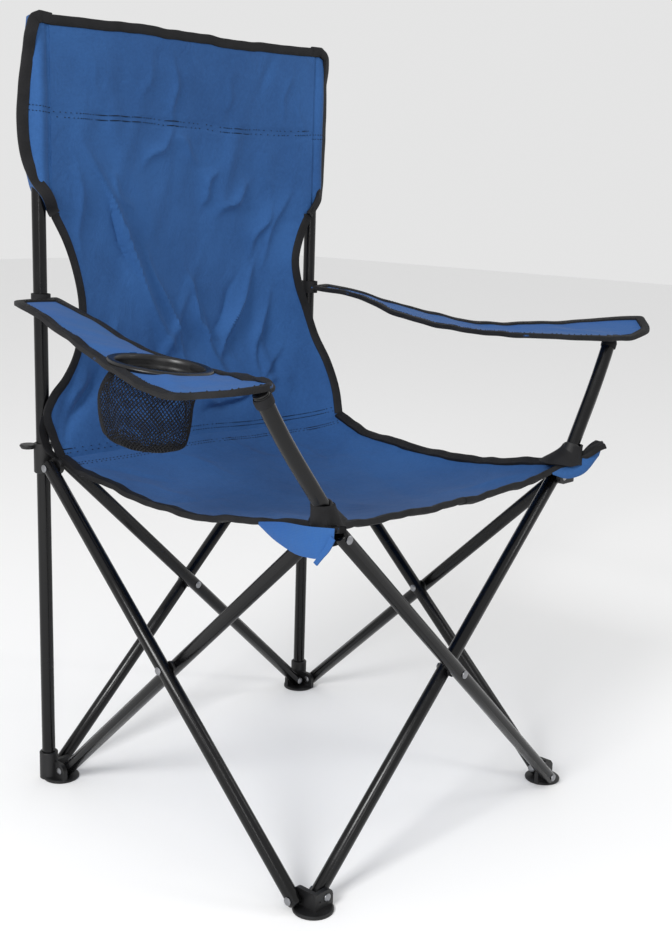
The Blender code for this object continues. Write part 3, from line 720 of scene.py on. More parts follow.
def rivet(name):
    """A profile turned about the rivet's own axis: domed head, shank, flatter rolled head with a dimple."""
    low, high = (np.array(c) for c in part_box(name))
    side = high - low
    axis = int(np.argmax(side))
    half, head = side[axis] / 2, side[(axis + 1) % 3] / 2
    shank, tall = head * 0.54, 0.0014
    profile = np.array([
        (-half - 0.0004, 0.0), (-half - 0.0003, head * 0.45), (-half + 0.0002, head * 0.80),
        (-half + 0.0007, head * 0.97), (-half + tall - 0.0002, head), (-half + tall, head * 0.96),
        (-half + tall, shank), (half - tall, shank), (half - tall, head * 0.86),
        (half - 0.0006, head * 0.88),
        (half, head * 0.72), (half - 0.0001, head * 0.5), (half - 0.0006, head * 0.36),
        (half - 0.0007, 0.0),
    ])
    turns = np.linspace(0, 2 * np.pi, 28, endpoint=False)
    first, second = np.eye(3)[(axis + 1) % 3], np.eye(3)[(axis + 2) % 3]
    spokes = np.cos(turns)[None, :, None] * first + np.sin(turns)[None, :, None] * second
    rings = profile[1:-1, 0][:, None, None] * np.eye(3)[axis] + profile[1:-1, 1][:, None, None] * spokes
    n, k = rings.shape[:2]
    tips = profile[[0, -1], 0][:, None] * np.eye(3)[axis]
    points = np.concatenate([rings.reshape(-1, 3), tips]) + middle_of(name)
    around = np.arange(k)
    first_fan = np.stack([np.full(k, n * k), (around + 1) % k, around], -1)
    last_fan = np.stack([np.full(k, n * k + 1), (n - 1) * k + around, (n - 1) * k + (around + 1) % k], -1)
    faces = grid_faces(n, k, False, True).tolist() + first_fan.tolist() + last_fan.tolist()
    made = piece(name + "_turned", points, faces, finish_of("rivet"), NODES[name]["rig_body"],
        sharp=40)
    outwards(made)
    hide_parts(name)


# ---------------------------------------------------------------- back

BACK_LINES = {
    # from the seat seam up to the top: (x, y, z) from the frame's centre
    -1: (
        (-0.2165, 0.2070, 0.405), (-0.2255, 0.2085, 0.430), (-0.2330, 0.2110, 0.460),
        (-0.2200, 0.2135, 0.482), (-0.2020, 0.2140, 0.500), (-0.1870, 0.2140, 0.524),
        (-0.1785, 0.2143, 0.555), (-0.1775, 0.2147, 0.585), (-0.1850, 0.2147, 0.622),
        (-0.1990, 0.2147, 0.658), (-0.2141, 0.2147, 0.684),
    ),
    1: (
        (0.2220, 0.1520, 0.420), (0.2290, 0.1650, 0.450), (0.2300, 0.1850, 0.490),
        (0.2240, 0.2040, 0.525), (0.2130, 0.2125, 0.565), (0.1985, 0.2147, 0.600),
        (0.1925, 0.2147, 0.628), (0.2000, 0.2147, 0.657), (0.2141, 0.2147, 0.684),
    ),
}
SEAM = (
    (-0.2165, 0.2070, 0.405), (-0.12, 0.2060, 0.405), (0.0, 0.2055, 0.409), (0.09, 0.2035, 0.405),
    (0.15, 0.1930, 0.406), (0.19, 0.1740, 0.411), (0.2220, 0.1520, 0.420),
)
TOP = {-1: 0.9025, 1: 0.9075}
HEM = {-1: 0.8035, 1: 0.7965}  # height of the upper of two rows of stitches across the back
ROWS_APART = 0.0055
WING = {
    # the sleeves' outer edge, from their bottom up and over the top corner: (distance out from the middle, z)
    -1: (
        (0.2150, 0.6855), (0.2240, 0.7010), (0.2370, 0.7220), (0.2465, 0.7500), (0.2500, 0.7850),
        (0.2485, 0.8200), (0.2435, 0.8600), (0.2420, 0.8850), (0.2370, 0.8990), (0.2260, 0.9045),
    ),
    1: (
        (0.2150, 0.6855), (0.2240, 0.7010), (0.2370, 0.7240), (0.2435, 0.7600), (0.2455, 0.8000),
        (0.2440, 0.8500), (0.2425, 0.8850), (0.2380, 0.9010), (0.2270, 0.9085),
    ),
}
# creases: start x, z, end x, z, half width, height. They follow how the cloth hangs slack between the posts.
BACK_CREASES = (
    (-0.165, 0.765, -0.020, 0.520, 0.012, 0.0060), (-0.150, 0.735, -0.078, 0.600, 0.006, -0.0030),
    (-0.060, 0.640, 0.006, 0.500, 0.008, 0.0036), (-0.176, 0.745, -0.170, 0.640, 0.009, 0.0034),
    (-0.128, 0.735, -0.090, 0.690, 0.006, 0.0020), (-0.030, 0.872, -0.026, 0.800, 0.007, 0.0030),
    (-0.026, 0.786, -0.070, 0.745, 0.008, 0.0020), (-0.024, 0.786, 0.020, 0.755, 0.009, 0.0018),
    (0.172, 0.880, 0.160, 0.815, 0.007, 0.0026), (0.188, 0.855, 0.196, 0.800, 0.006, 0.0022),
    (-0.160, 0.870, -0.140, 0.815, 0.009, 0.0018), (0.110, 0.725, 0.066, 0.690, 0.010, 0.0034),
    (0.150, 0.700, 0.120, 0.640, 0.008, 0.0030), (0.180, 0.730, 0.135, 0.620, 0.010, 0.0030),
    (0.052, 0.745, 0.030, 0.700, 0.009, 0.0022), (0.128, 0.620, 0.066, 0.500, 0.010, 0.0052),
    (0.155, 0.590, 0.120, 0.470, 0.010, 0.0040), (0.100, 0.600, 0.052, 0.520, 0.006, -0.0024),
    (0.010, 0.610, 0.046, 0.525, 0.007, 0.0030), (0.030, 0.570, 0.070, 0.470, 0.008, 0.0028),
    (0.175, 0.520, 0.110, 0.440, 0.010, 0.0036), (-0.150, 0.500, -0.214, 0.412, 0.013, -0.0090),
    (-0.165, 0.510, -0.190, 0.455, 0.012, 0.0040), (-0.120, 0.560, -0.135, 0.470, 0.010, 0.0026),
    (0.020, 0.432, 0.120, 0.452, 0.012, -0.0050), (0.060, 0.446, 0.170, 0.470, 0.010, 0.0042),
    (-0.100, 0.440, -0.020, 0.425, 0.010, 0.0030), (0.000, 0.470, 0.060, 0.440, 0.008, 0.0030),
    (-0.060, 0.880, -0.080, 0.820, 0.010, 0.0014), (0.070, 0.870, 0.060, 0.815, 0.010, 0.0018),
)


def back_grid():
    """The back panel's middle surface: a patch between its two side edges, the seat seam and the top
    edge, bowed back a little where nobody leans on it, with its creases standing forward."""
    rows, columns = 171, 141
    top = smooth_line([(-BACK_EDGE, BACK_Y, TOP[-1]), (-0.07, BACK_Y + 0.001, TOP[-1] + 0.0035),
        (0.07, BACK_Y + 0.001, TOP[1] - 0.0035), (BACK_EDGE, BACK_Y, TOP[1])], columns)
    top[:, 2] += 0.0012 * ripple(np.linspace(0, 1, columns), 3) * np.sin(np.pi * np.linspace(0, 1, columns))
    edges = {}
    for side in (-1, 1):
        low_part = smooth_line(BACK_LINES[side], 400)
        straight = np.linspace(low_part[-1], (side * BACK_EDGE, BACK_Y, TOP[side]), 300)[1:]
        edges[side] = even(np.concatenate([low_part, straight]), rows)
    seam = smooth_line(SEAM, columns)
    grid = coons(edges[-1], edges[1], seam, top)
    u, v = np.meshgrid(np.linspace(0, 1, columns), np.linspace(0, 1, rows), indexing="ij")
    inside = (np.sin(np.pi * u) ** 0.6) * (1 - (2 * v - 1) ** 8)
    slack = 0.009 * np.sin(np.pi * u) * np.sin(np.pi * np.clip(v * 1.1, 0, 1)) ** 0.8
    calm = np.where(v > 0.81, 0.6, 1.0)
    x, z = grid[..., 0], grid[..., 2]
    rough = 2.7 * crease_heights(x, z, BACK_CREASES) + 3.4 * crumple(x, z, 11, 70, 0.06)
    grid[..., 1] += slack - rough * np.minimum(inside, 1) * calm
    for drop in (0.0, ROWS_APART):
        height = HEM[-1] - drop + (HEM[1] - HEM[-1]) * u
        grid[..., 1] += 0.0011 * np.exp(-(((grid[..., 2] - height) / 0.0016) ** 2))
    return grid


SLEEVE_HALF = 16  # points across the front of a sleeve


def sleeve_loop(side):
    """A post sleeve: at each height a closed loop that runs out over the front of the post to the
    wing's edge and back behind the post, closed over the post's top."""
    rows, half = 81, SLEEVE_HALF
    wing = smooth_line(WING[side], rows)
    inner = np.stack([np.full(rows, BACK_EDGE), np.linspace(0.684, TOP[side], rows)], 1)
    a = np.concatenate([np.linspace(0, 1, half), np.linspace(1, 0, half + 1)[1:-1]])[:, None]
    behind = (np.arange(len(a)) >= half)[:, None]
    across = inner[None, :, 0] * (1 - a) + wing[None, :, 0] * a
    z = inner[None, :, 1] * (1 - a) + wing[None, :, 1] * a
    low_down = 1 - np.clip((z - TOP[side] + 0.045) / 0.035, 0, 1)
    front = BACK_Y + low_down * 0.0085 * np.clip((across - 0.2215) / 0.026, 0, 1.3) ** 1.5
    over_post = np.exp(-(((across - 0.2285) / 0.0070) ** 2))
    front += 0.0016 * np.exp(-(((across - 0.2175) / 0.0022) ** 2)) - 0.0042 * over_post * low_down
    round_post = 0.0200 * np.exp(-(((across - 0.2250) / 0.0125) ** 2))
    flare = low_down * 0.0085 * np.clip((across - 0.2290) / 0.016, 0, 1.3)
    rear = BACK_Y + 0.0014 + round_post + flare
    y = np.where(behind, rear, front)
    row = np.linspace(0, 1, rows)[None, :]
    z = z + np.where(behind, 0.020 * np.sin(np.pi * a) ** 0.6 * np.clip(1 - row / 0.3, 0, 1), 0)
    closing = np.clip((z - (TOP[side] - 0.004)) / 0.004, 0, 1) ** 2
    y = y * (1 - closing) + 0.2175 * closing
    wrinkle = 0.0006 * ripple(z * 2.2 + 0.1 * across, 7 + side)
    return np.stack([side * across, y + wrinkle * (1 - closing), z], -1)


class CHAIR_OT_back(ChairPiece, bpy.types.Operator):
    """Back: one slack woven panel between two sleeves that slip over the rear posts, bound in tape all
    round"""

    bl_idname = "chair.back"
    bl_label = "Back and post sleeves"

    def make(self):
        s = sizes()
        grid = back_grid()
        normal = grid_normals(grid)
        panel = cloth_piece("back_cloth", grid, s.cloth_thickness, finish_of("cloth"),
            "rear_right_leg")
        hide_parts("back_panel")
        rows = grid.shape[1]
        centre = grid[grid.shape[0] // 2, rows // 2]
        trims = []
        for side, column in ((-1, 0), (1, -1)):
            stop = int(np.argmax(grid[column, :, 2] > s.back_low + 0.004))
            edge = grid[column, : stop + 1]
            up = normal[column, : stop + 1]
            inward = edge_frame(edge, up, np.array([0.0, edge[:, 1].mean(), 0.55]))
            trims.append(tape(f"back_edge_tape_{SIDE_NAME[side]}", edge, inward, up, "rear_right_leg"))
        edge, up = grid[:, -1], normal[:, -1]
        trims.append(tape("back_top_tape", edge, edge_frame(edge, up, centre), up, "rear_right_leg"))
        lines = []
        b = np.linspace(0, 1, 400)
        for gap in (0.0, ROWS_APART):
            height = (HEM[-1] - gap) * (1 - b) + (HEM[1] - gap) * b
            at = np.interp(height, grid[70, :, 2], np.linspace(0, 1, rows))
            lines.append(stitch_row(grid, normal, b, at))
        lines += [stitch_row(grid, normal, b, np.full_like(b, at)) for at in (0.012, 0.022)]
        trims.append(stitches("back_stitching", lines, "rear_right_leg"))
        for made in [panel, *trims]:
            folds_with(made)
        for side in (-1, 1):
            self.sleeve(side, "rear_right_leg" if side < 0 else "rear_left_leg")

    def sleeve(self, side, body):
        s = sizes()
        loop = sleeve_loop(side)
        name = SIDE_NAME[side]
        made = cloth_piece("back_sleeve_cloth_" + name, loop if side > 0 else loop[::-1], s.cloth_thickness,
            finish_of("cloth"), body, wrap=True)
        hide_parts("back_sleeve_" + name)
        half = SLEEVE_HALF
        edge = even(np.concatenate([loop[half - 1],
            np.array([[side * (BACK_EDGE - 0.004), BACK_Y, TOP[side] + 0.0006]])]), 110)
        over = np.clip((edge[:, 2] - TOP[side] + 0.004) / 0.004, 0, 1)
        edge[:, 1] += over * (BACK_Y + 0.0006 - edge[:, 1])
        facing = np.tile(unit(np.array([side * 0.35, -0.94, 0.0])), (len(edge), 1))
        inward = edge_frame(edge, facing, np.array([side * 0.2141, 0.22, 0.80]))
        binding = tape("sleeve_edge_tape_" + name, edge - inward * 0.0010, inward, facing, body, 1.15, 1.6)
        b = np.linspace(0, 1, 60)
        lines = []
        for gap in (0.0, ROWS_APART):
            z = HEM[side] - side * 0.0003 - gap
            row = int(np.argmin(abs(loop[0, :, 2] - z)))
            track = loop[: half - 2, row] + np.array([0, -0.0007, 0])
            lines.append((even(track, 40), np.tile([0.0, -1.0, 0.0], (40, 1))))
        thread = stitches("sleeve_stitching_" + name, lines, body)


# ---------------------------------------------------------------- seat

SEAT_LINES = {
    # from the front tip to the rear seam
    -1: (
        (-0.2270, -0.2440, 0.4140), (-0.2200, -0.2150, 0.4090), (-0.2165, -0.1700, 0.4035),
        (-0.2150, -0.0850, 0.3895), (-0.2150, -0.0230, 0.3815), (-0.2150, 0.0420, 0.3820),
        (-0.2150, 0.1120, 0.3890), (-0.2155, 0.1760, 0.3980), (-0.2165, 0.2070, 0.4050),
    ),
    1: (
        (0.2540, -0.2435, 0.4350), (0.2370, -0.2320, 0.4240), (0.2240, -0.2080, 0.4140),
        (0.2185, -0.1650, 0.4060), (0.2160, -0.0820, 0.3950), (0.2160, -0.0090, 0.3940),
        (0.2160, 0.0500, 0.3980), (0.2170, 0.1130, 0.4060), (0.2220, 0.1520, 0.4200),
    ),
}
SEAT_FRONT = (
    (-0.2270, -0.2440, 0.4140), (-0.2080, -0.2290, 0.4090), (-0.1750, -0.2190, 0.4045),
    (-0.1320, -0.2165, 0.4015), (-0.0760, -0.2160, 0.3990), (-0.0100, -0.2155, 0.3975),
    (0.0600, -0.2155, 0.3970), (0.1200, -0.2160, 0.3995), (0.1700, -0.2180, 0.4045),
    (0.2050, -0.2240, 0.4120), (0.2350, -0.2360, 0.4240), (0.2540, -0.2435, 0.4350),
)
SEAT_CREASES = (
    (-0.200, 0.190, -0.120, 0.120, 0.014, -0.0040), (-0.190, 0.150, -0.130, 0.060, 0.014, 0.0026),
    (0.190, 0.130, 0.110, 0.080, 0.016, -0.0034), (0.040, 0.190, 0.080, 0.120, 0.014, 0.0024),
    (-0.060, 0.195, -0.030, 0.110, 0.012, 0.0026), (0.120, 0.170, 0.140, 0.100, 0.012, 0.0026),
    (-0.200, -0.200, -0.110, -0.120, 0.016, 0.0036), (0.205, -0.190, 0.120, -0.110, 0.018, 0.0034),
    (-0.150, -0.205, -0.060, -0.160, 0.016, -0.0020), (0.160, -0.205, 0.070, -0.170, 0.016, -0.0020),
    (0.000, 0.050, 0.020, -0.120, 0.030, 0.0016),
)


def seat_grid():
    """The seat's middle surface: a patch between the side edges, front edge and seam, all sagging, with
    slack in the middle."""
    rows, columns = 121, 129
    grid = coons(smooth_line(SEAT_LINES[-1], rows), smooth_line(SEAT_LINES[1], rows),
        smooth_line(SEAT_FRONT, columns), smooth_line(SEAM, columns))
    u, v = np.meshgrid(np.linspace(0, 1, columns), np.linspace(0, 1, rows), indexing="ij")
    inside = np.sin(np.pi * u) ** 0.6 * np.sin(np.pi * v) ** 0.5
    grid[..., 2] -= 0.012 * np.sin(np.pi * u) * np.sin(np.pi * v)
    x, y = grid[..., 0], grid[..., 1]
    grid[..., 2] += inside * (1.6 * crease_heights(x, y, SEAT_CREASES) + 2.0 * crumple(x, y, 23, 34))
    return grid


class CHAIR_OT_seat(ChairPiece, bpy.types.Operator):
    """Seat: one sling split along the fold down its middle, bound in tape, with black patches and loose
    tips at the front"""

    bl_idname = "chair.seat"
    bl_label = "Seat"

    def make(self):
        s = sizes()
        whole = seat_grid()
        normals = grid_normals(whole)
        up = np.sign(normals[..., 2].mean())
        mid = whole.shape[0] // 2
        for side in (-1, 1):
            name = SIDE_NAME[side]
            body = "seat_" + name
            part = slice(0, mid + 1) if side < 0 else slice(mid, None)
            grid, normal = whole[part], normals[part] * up
            cloth = cloth_piece("seat_cloth_" + name, grid if up > 0 else grid[:, ::-1], s.cloth_thickness,
                finish_of("cloth"), body)
            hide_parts(f"seat_{name}_half")
            outer = 0 if side < 0 else -1
            front = grid[:, 0] if side > 0 else grid[::-1, 0]
            front_up = normal[:, 0] if side > 0 else normal[::-1, 0]
            edge = np.concatenate([front[:-1], grid[outer]])
            edge_up = np.concatenate([front_up[:-1], normal[outer]])
            both = even(np.concatenate([edge, edge_up * TINY], 1), 260)
            edge, edge_up = both[:, :3], unit(both[:, 3:])
            inward = edge_frame(edge, edge_up, np.array([side * 0.10, 0.0, 0.39]))
            wobble = -0.0004 + 0.0011 * ripple(np.linspace(0, 1, 260), 31 + side, (9, 17, 27))[:, None]
            lift = 0.0014 * ripple(np.linspace(0, 1, 260), 37 + side, (7, 15, 24))[:, None]
            trims = [tape("seat_edge_tape_" + name, edge + inward * wobble + edge_up * lift, inward,
                edge_up, body, 1.15, 2.3)]
            trims.append(self.patch(side, grid, normal, body))
            trims += self.tips(side, body)
            b = np.linspace(0, 1, 200)
            lines = [stitch_row(grid, normal, b, np.full_like(b, at)) for at in (0.965, 0.955)]
            trims.append(stitches("seat_stitching_" + name, lines, body))
            for made in [cloth, *trims]:
                folds_with(made)
            self.boot(side)

    def patch(self, side, grid, normal, body):
        """A black triangle of webbing sewn over the front corner, where the cloth takes the connector's
        pull."""
        a, b = np.meshgrid(np.linspace(0, 1, 30), np.linspace(0, 1, 30), indexing="ij")
        across = 0.24 * a * (1 - 0.5 * b)
        across = across if side < 0 else 1 - across
        along = 0.115 * b * (1 - 0.5 * a)
        spot = on_grid(grid, across, along) + on_grid(normal, across, along) * 0.0014
        spot = spot if side < 0 else spot[::-1]
        return webbing("seat_corner_patch_" + SIDE_NAME[side], spot, 0.0012, body)

    def boot(self, side):
        """The webbing pocket pulled over a front connector: a skirt that hugs the foot of the arm tube
        and flares onto the seat's corner, wider towards the middle of the seat."""
        turn = np.linspace(0, 2 * np.pi, 48, endpoint=False)[:, None]
        drop = np.linspace(0, 1, 12)[None, :]
        lean = 0.30 if side < 0 else 0.36
        top = np.array([side * (SPAN / 2 + 0.0075), middle_of("arm_tube_" + SIDE_NAME[side])[1], 0.4330])
        inwards = np.arctan2(0.75, -side)
        facing = np.clip(np.cos(turn - inwards), 0, 1) ** 2
        reach = 0.0116 + drop**1.4 * (0.0045 + 0.020 * facing)
        fall = -drop * (0.022 - 0.003 * facing)
        points = [top[0] + reach * np.cos(turn) + side * lean * fall, top[1] + reach * np.sin(turn),
            top[2] + fall]
        pucker = 0.0006 * np.sin(5 * turn + 4 * drop) * drop
        grid = np.stack([p + 0 * drop for p in points], -1) + pucker[..., None]
        made = webbing("seat_corner_boot_" + SIDE_NAME[side], grid, 0.0012, "connector_" + SIDE_NAME[side],
            wrap=True)
        outwards(made)

    def tips(self, side, body):
        """The loose cloth below the corner: a flap that hangs outside the side edge and a short ribbon."""
        if side < 0:
            top = smooth_line([(-0.2170, -0.128, 0.3960), (-0.2300, -0.175, 0.4070),
                (-0.2390, -0.222, 0.4135), (-0.2350, -0.246, 0.4160)], 50)
            low = smooth_line([(-0.2180, -0.129, 0.3930), (-0.2330, -0.172, 0.3860),
                (-0.2415, -0.214, 0.3830), (-0.2425, -0.238, 0.3880), (-0.2375, -0.2475, 0.4050)], 50)
            ribbon = smooth_line([(-0.2395, -0.2480, 0.4080), (-0.2425, -0.2450, 0.3980),
                (-0.2430, -0.2370, 0.3880), (-0.2415, -0.2290, 0.3790)], 24)
        else:
            top = smooth_line([(0.178, -0.2215, 0.4050), (0.205, -0.2250, 0.4115), (0.235, -0.2370, 0.4235),
                (0.252, -0.2430, 0.4330)], 50)
            low = smooth_line([(0.178, -0.2230, 0.4030), (0.198, -0.2290, 0.3965), (0.222, -0.2370, 0.4000),
                (0.246, -0.2430, 0.4200)], 50)
        t = np.linspace(0, 1, 18)[None, :, None]
        grid = top[:, None] * (1 - t) + low[:, None] * t
        out = np.array([-1.0, -0.3, 0.0]) if side < 0 else np.array([0.3, -1.0, 0.0])
        bow = 0.0035 * np.sin(np.pi * t) * np.sin(np.pi * np.linspace(0, 1, 50))[:, None, None]
        grid = grid + out * bow
        # The right flap takes the cloth copy with painted light, the left flap the plain cloth, to match how
        # brightly each is lit
        flap = cloth_piece("seat_corner_flap_" + SIDE_NAME[side], grid, sizes().cloth_thickness,
            finish_of("cloth_light" if side < 0 else "cloth"), body)
        if side > 0:
            return [flap]
        wide = np.array([0.0, 0.0024, 0.0013]) * np.linspace(1.2, 0.9, len(ribbon))[:, None]
        strip = np.stack([ribbon - wide, ribbon, ribbon + wide], 0)
        # The ribbon takes the cloth copy with painted light
        return [flap, cloth_piece("seat_corner_ribbon_right", strip, 0.0016, finish_of("cloth_light"),
            body)]


# ---------------------------------------------------------------- armrests and cup holder

ARMREST_INNER = {
    -1: (
        (-0.2100, 0.2140, 0.5920), (-0.2100, 0.1620, 0.5780), (-0.2120, 0.1150, 0.5660),
        (-0.2150, 0.0520, 0.5510), (-0.2165, 0.0130, 0.5445), (-0.2180, -0.0400, 0.5420),
        (-0.2300, -0.1000, 0.5430), (-0.2560, -0.1500, 0.5490), (-0.2850, -0.1960, 0.5555),
    ),
    1: (
        (0.2150, 0.2100, 0.5900), (0.2130, 0.1275, 0.5850), (0.2100, 0.0460, 0.5670),
        (0.2120, -0.0190, 0.5570), (0.2130, -0.0740, 0.5570), (0.2160, -0.1540, 0.5580),
        (0.2320, -0.2000, 0.5600), (0.2620, -0.2380, 0.5600),
    ),
}
ARMREST_OUTER = {
    -1: (
        (-0.2680, 0.2120, 0.5900), (-0.2850, 0.1820, 0.5910), (-0.2950, 0.1360, 0.5860),
        (-0.3000, 0.0945, 0.5740), (-0.3100, 0.0470, 0.5640), (-0.3250, -0.0125, 0.5540),
        (-0.3450, -0.0970, 0.5410), (-0.3500, -0.1250, 0.5390), (-0.3560, -0.1650, 0.5420),
        (-0.3480, -0.2020, 0.5480),
    ),
    1: (
        (0.2500, 0.2140, 0.5910), (0.2700, 0.1870, 0.5860), (0.2850, 0.1070, 0.5700),
        (0.3000, 0.0480, 0.5600), (0.3200, -0.0370, 0.5560), (0.3400, -0.1170, 0.5640),
        (0.3650, -0.1690, 0.5720), (0.3800, -0.2140, 0.5770),
    ),
}
ARMREST_FRONT = {
    -1: (
        (-0.2850, -0.1960, 0.5555), (-0.2950, -0.2200, 0.5545), (-0.3080, -0.2300, 0.5535),
        (-0.3290, -0.2210, 0.5505), (-0.3480, -0.2020, 0.5475),
    ),
    1: (
        (0.2620, -0.2380, 0.5600), (0.3000, -0.2460, 0.5610), (0.3450, -0.2430, 0.5660),
        (0.3800, -0.2140, 0.5770),
    ),
}


CUP_HOLE = 0.0500     # radius of the hole that the ring covers


def armrest_grid(side):
    """An armrest's middle surface: a patch between its inner and outer edges, rear edge and rounded
    front, gently rippled."""
    rows, columns = 131, 41
    inner, outer = smooth_line(ARMREST_INNER[side], rows), smooth_line(ARMREST_OUTER[side], rows)
    rear = even(np.array([inner[0], outer[0]]), columns)
    grid = coons(inner, outer, rear, smooth_line(ARMREST_FRONT[side], columns))
    u, v = np.meshgrid(np.linspace(0, 1, columns), np.linspace(0, 1, rows), indexing="ij")
    grid[..., 2] += 0.0018 * ripple(v + 0.15 * u, 41 + side, (3, 7, 12)) * np.sin(np.pi * v)
    grid[..., 2] += crumple(grid[..., 0], grid[..., 1], 51 + side, 16, 0.05) * np.sin(np.pi * u) * 1.2
    return grid


def ring_plane():
    """The cup ring's middle, its upward axis and two directions across it."""
    lean = Matrix.Rotation(math.radians(7.0), 3, Vector((0.75, 0.66, 0)))
    axis = np.array(lean @ Vector((0, 0, 1)))
    first = np.array(lean @ Vector((1, 0, 0)))
    return CUP, axis, first, np.cross(axis, first)


class CHAIR_OT_armrests(ChairPiece, bpy.types.Operator):
    """Armrests: bound cloth strips from loops on the rear posts to pockets over the arm tubes, the
    right one cut for the cup ring"""

    bl_idname = "chair.armrests"
    bl_label = "Armrests"

    def make(self):
        s = sizes()
        for side in (-1, 1):
            name = SIDE_NAME[side]
            body = "connector_" + name
            grid = armrest_grid(side)
            keep = None
            if side < 0:
                cell = (grid[1:, 1:] + grid[:-1, :-1] + grid[1:, :-1] + grid[:-1, 1:]) / 4
                keep = np.hypot(*(cell - CUP)[..., :2].transpose(2, 0, 1)) > CUP_HOLE
            if grid_normals(grid)[..., 2].mean() < 0:
                grid = grid[::-1]
                keep = None if keep is None else keep[::-1]
            normal = grid_normals(grid)
            # The armrests take the cloth copy with painted light, set to how brightly their tops are lit
            cloth = cloth_piece("armrest_cloth_" + name, grid, s.cloth_thickness * 1.6,
                finish_of("cloth_light"), body, keep)
            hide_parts("armrest_" + name)
            loop = [grid[:, 0], grid[-1, 1:], grid[-2::-1, -1], grid[0, -2:0:-1]]
            loop_up = [normal[:, 0], normal[-1, 1:], normal[-2::-1, -1], normal[0, -2:0:-1]]
            edge, up = np.concatenate(loop), np.concatenate(loop_up)
            both = even(np.concatenate([closed_up(edge), closed_up(up) * TINY], 1), 321)[:-1]
            edge, up = both[:, :3], unit(both[:, 3:])
            for _ in range(3):
                edge = (np.roll(edge, 1, 0) + 2 * edge + np.roll(edge, -1, 0)) / 4
            inward = edge_frame(edge, up, grid.mean((0, 1)), closed=True)
            wobble = 0.0009 * ripple(np.linspace(0, 1, len(edge)), 61 + side, (7, 15, 26))[:, None]
            trims = [tape("armrest_edge_tape_" + name, edge + inward * wobble, inward, up, body, 0.95, 2.0,
                closed=True)]
            inset = edge + inward * 0.0086 + up * 0.0029
            trims.append(stitches("armrest_stitching_" + name, [(closed_up(inset), closed_up(up))], body))
            for made in [cloth, *trims]:
                folds_with(made)
            self.pocket(side, body)
            self.loop(side)

    def pocket(self, side, body):
        """The black pocket sewn under the armrest's front, pulled over the tube's end: a dome that
        narrows down the tube."""
        top = middle_of("arm_cap_" + SIDE_NAME[side])
        down = unit(np.array({-1: (0.53, 0.0, -0.85), 1: (-0.42, -0.02, -0.90)}[side]))
        profile = np.array([(-0.0012, 0.0008), (-0.0010, 0.0055), (-0.0002, 0.0081), (0.0020, 0.0088),
            (0.0060, 0.0088), (0.0085, 0.0086)])
        turn = np.linspace(0, 2 * np.pi, 36, endpoint=False)
        first = unit(np.cross(down, [0, 1, 0]))
        second = np.cross(down, first)
        spokes = np.cos(turn)[:, None, None] * first + np.sin(turn)[:, None, None] * second
        grid = (top + down * (profile[:, :1] - 0.0010))[None] + profile[None, :, 1:] * spokes
        made = webbing("armrest_tube_pocket_" + SIDE_NAME[side], grid, 0.0012, body, wrap=True)
        outwards(made)

    def loop(self, side):
        """The webbing loop that holds the armrest's rear end to its post."""
        turn = np.linspace(0, 2 * np.pi, 48, endpoint=False)
        post = POST[side]
        radius = 0.0098
        centre = np.array([post[0], post[1], 0.590])
        around = centre + radius * np.stack([np.cos(turn), np.sin(turn), 0 * turn], -1)
        around[:, 1] -= 0.004 * np.clip(-np.sin(turn), 0, 1) ** 2
        grid = np.stack([around + [0, 0, h] for h in (-0.008, 0.0, 0.008)], 1)
        made = webbing("armrest_post_loop_" + SIDE_NAME[side], grid, 0.0016, "slider_" + SIDE_NAME[side],
            wrap=True)
        outwards(made)


RING_INSIDE = 0.0458  # where the net leaves the ring


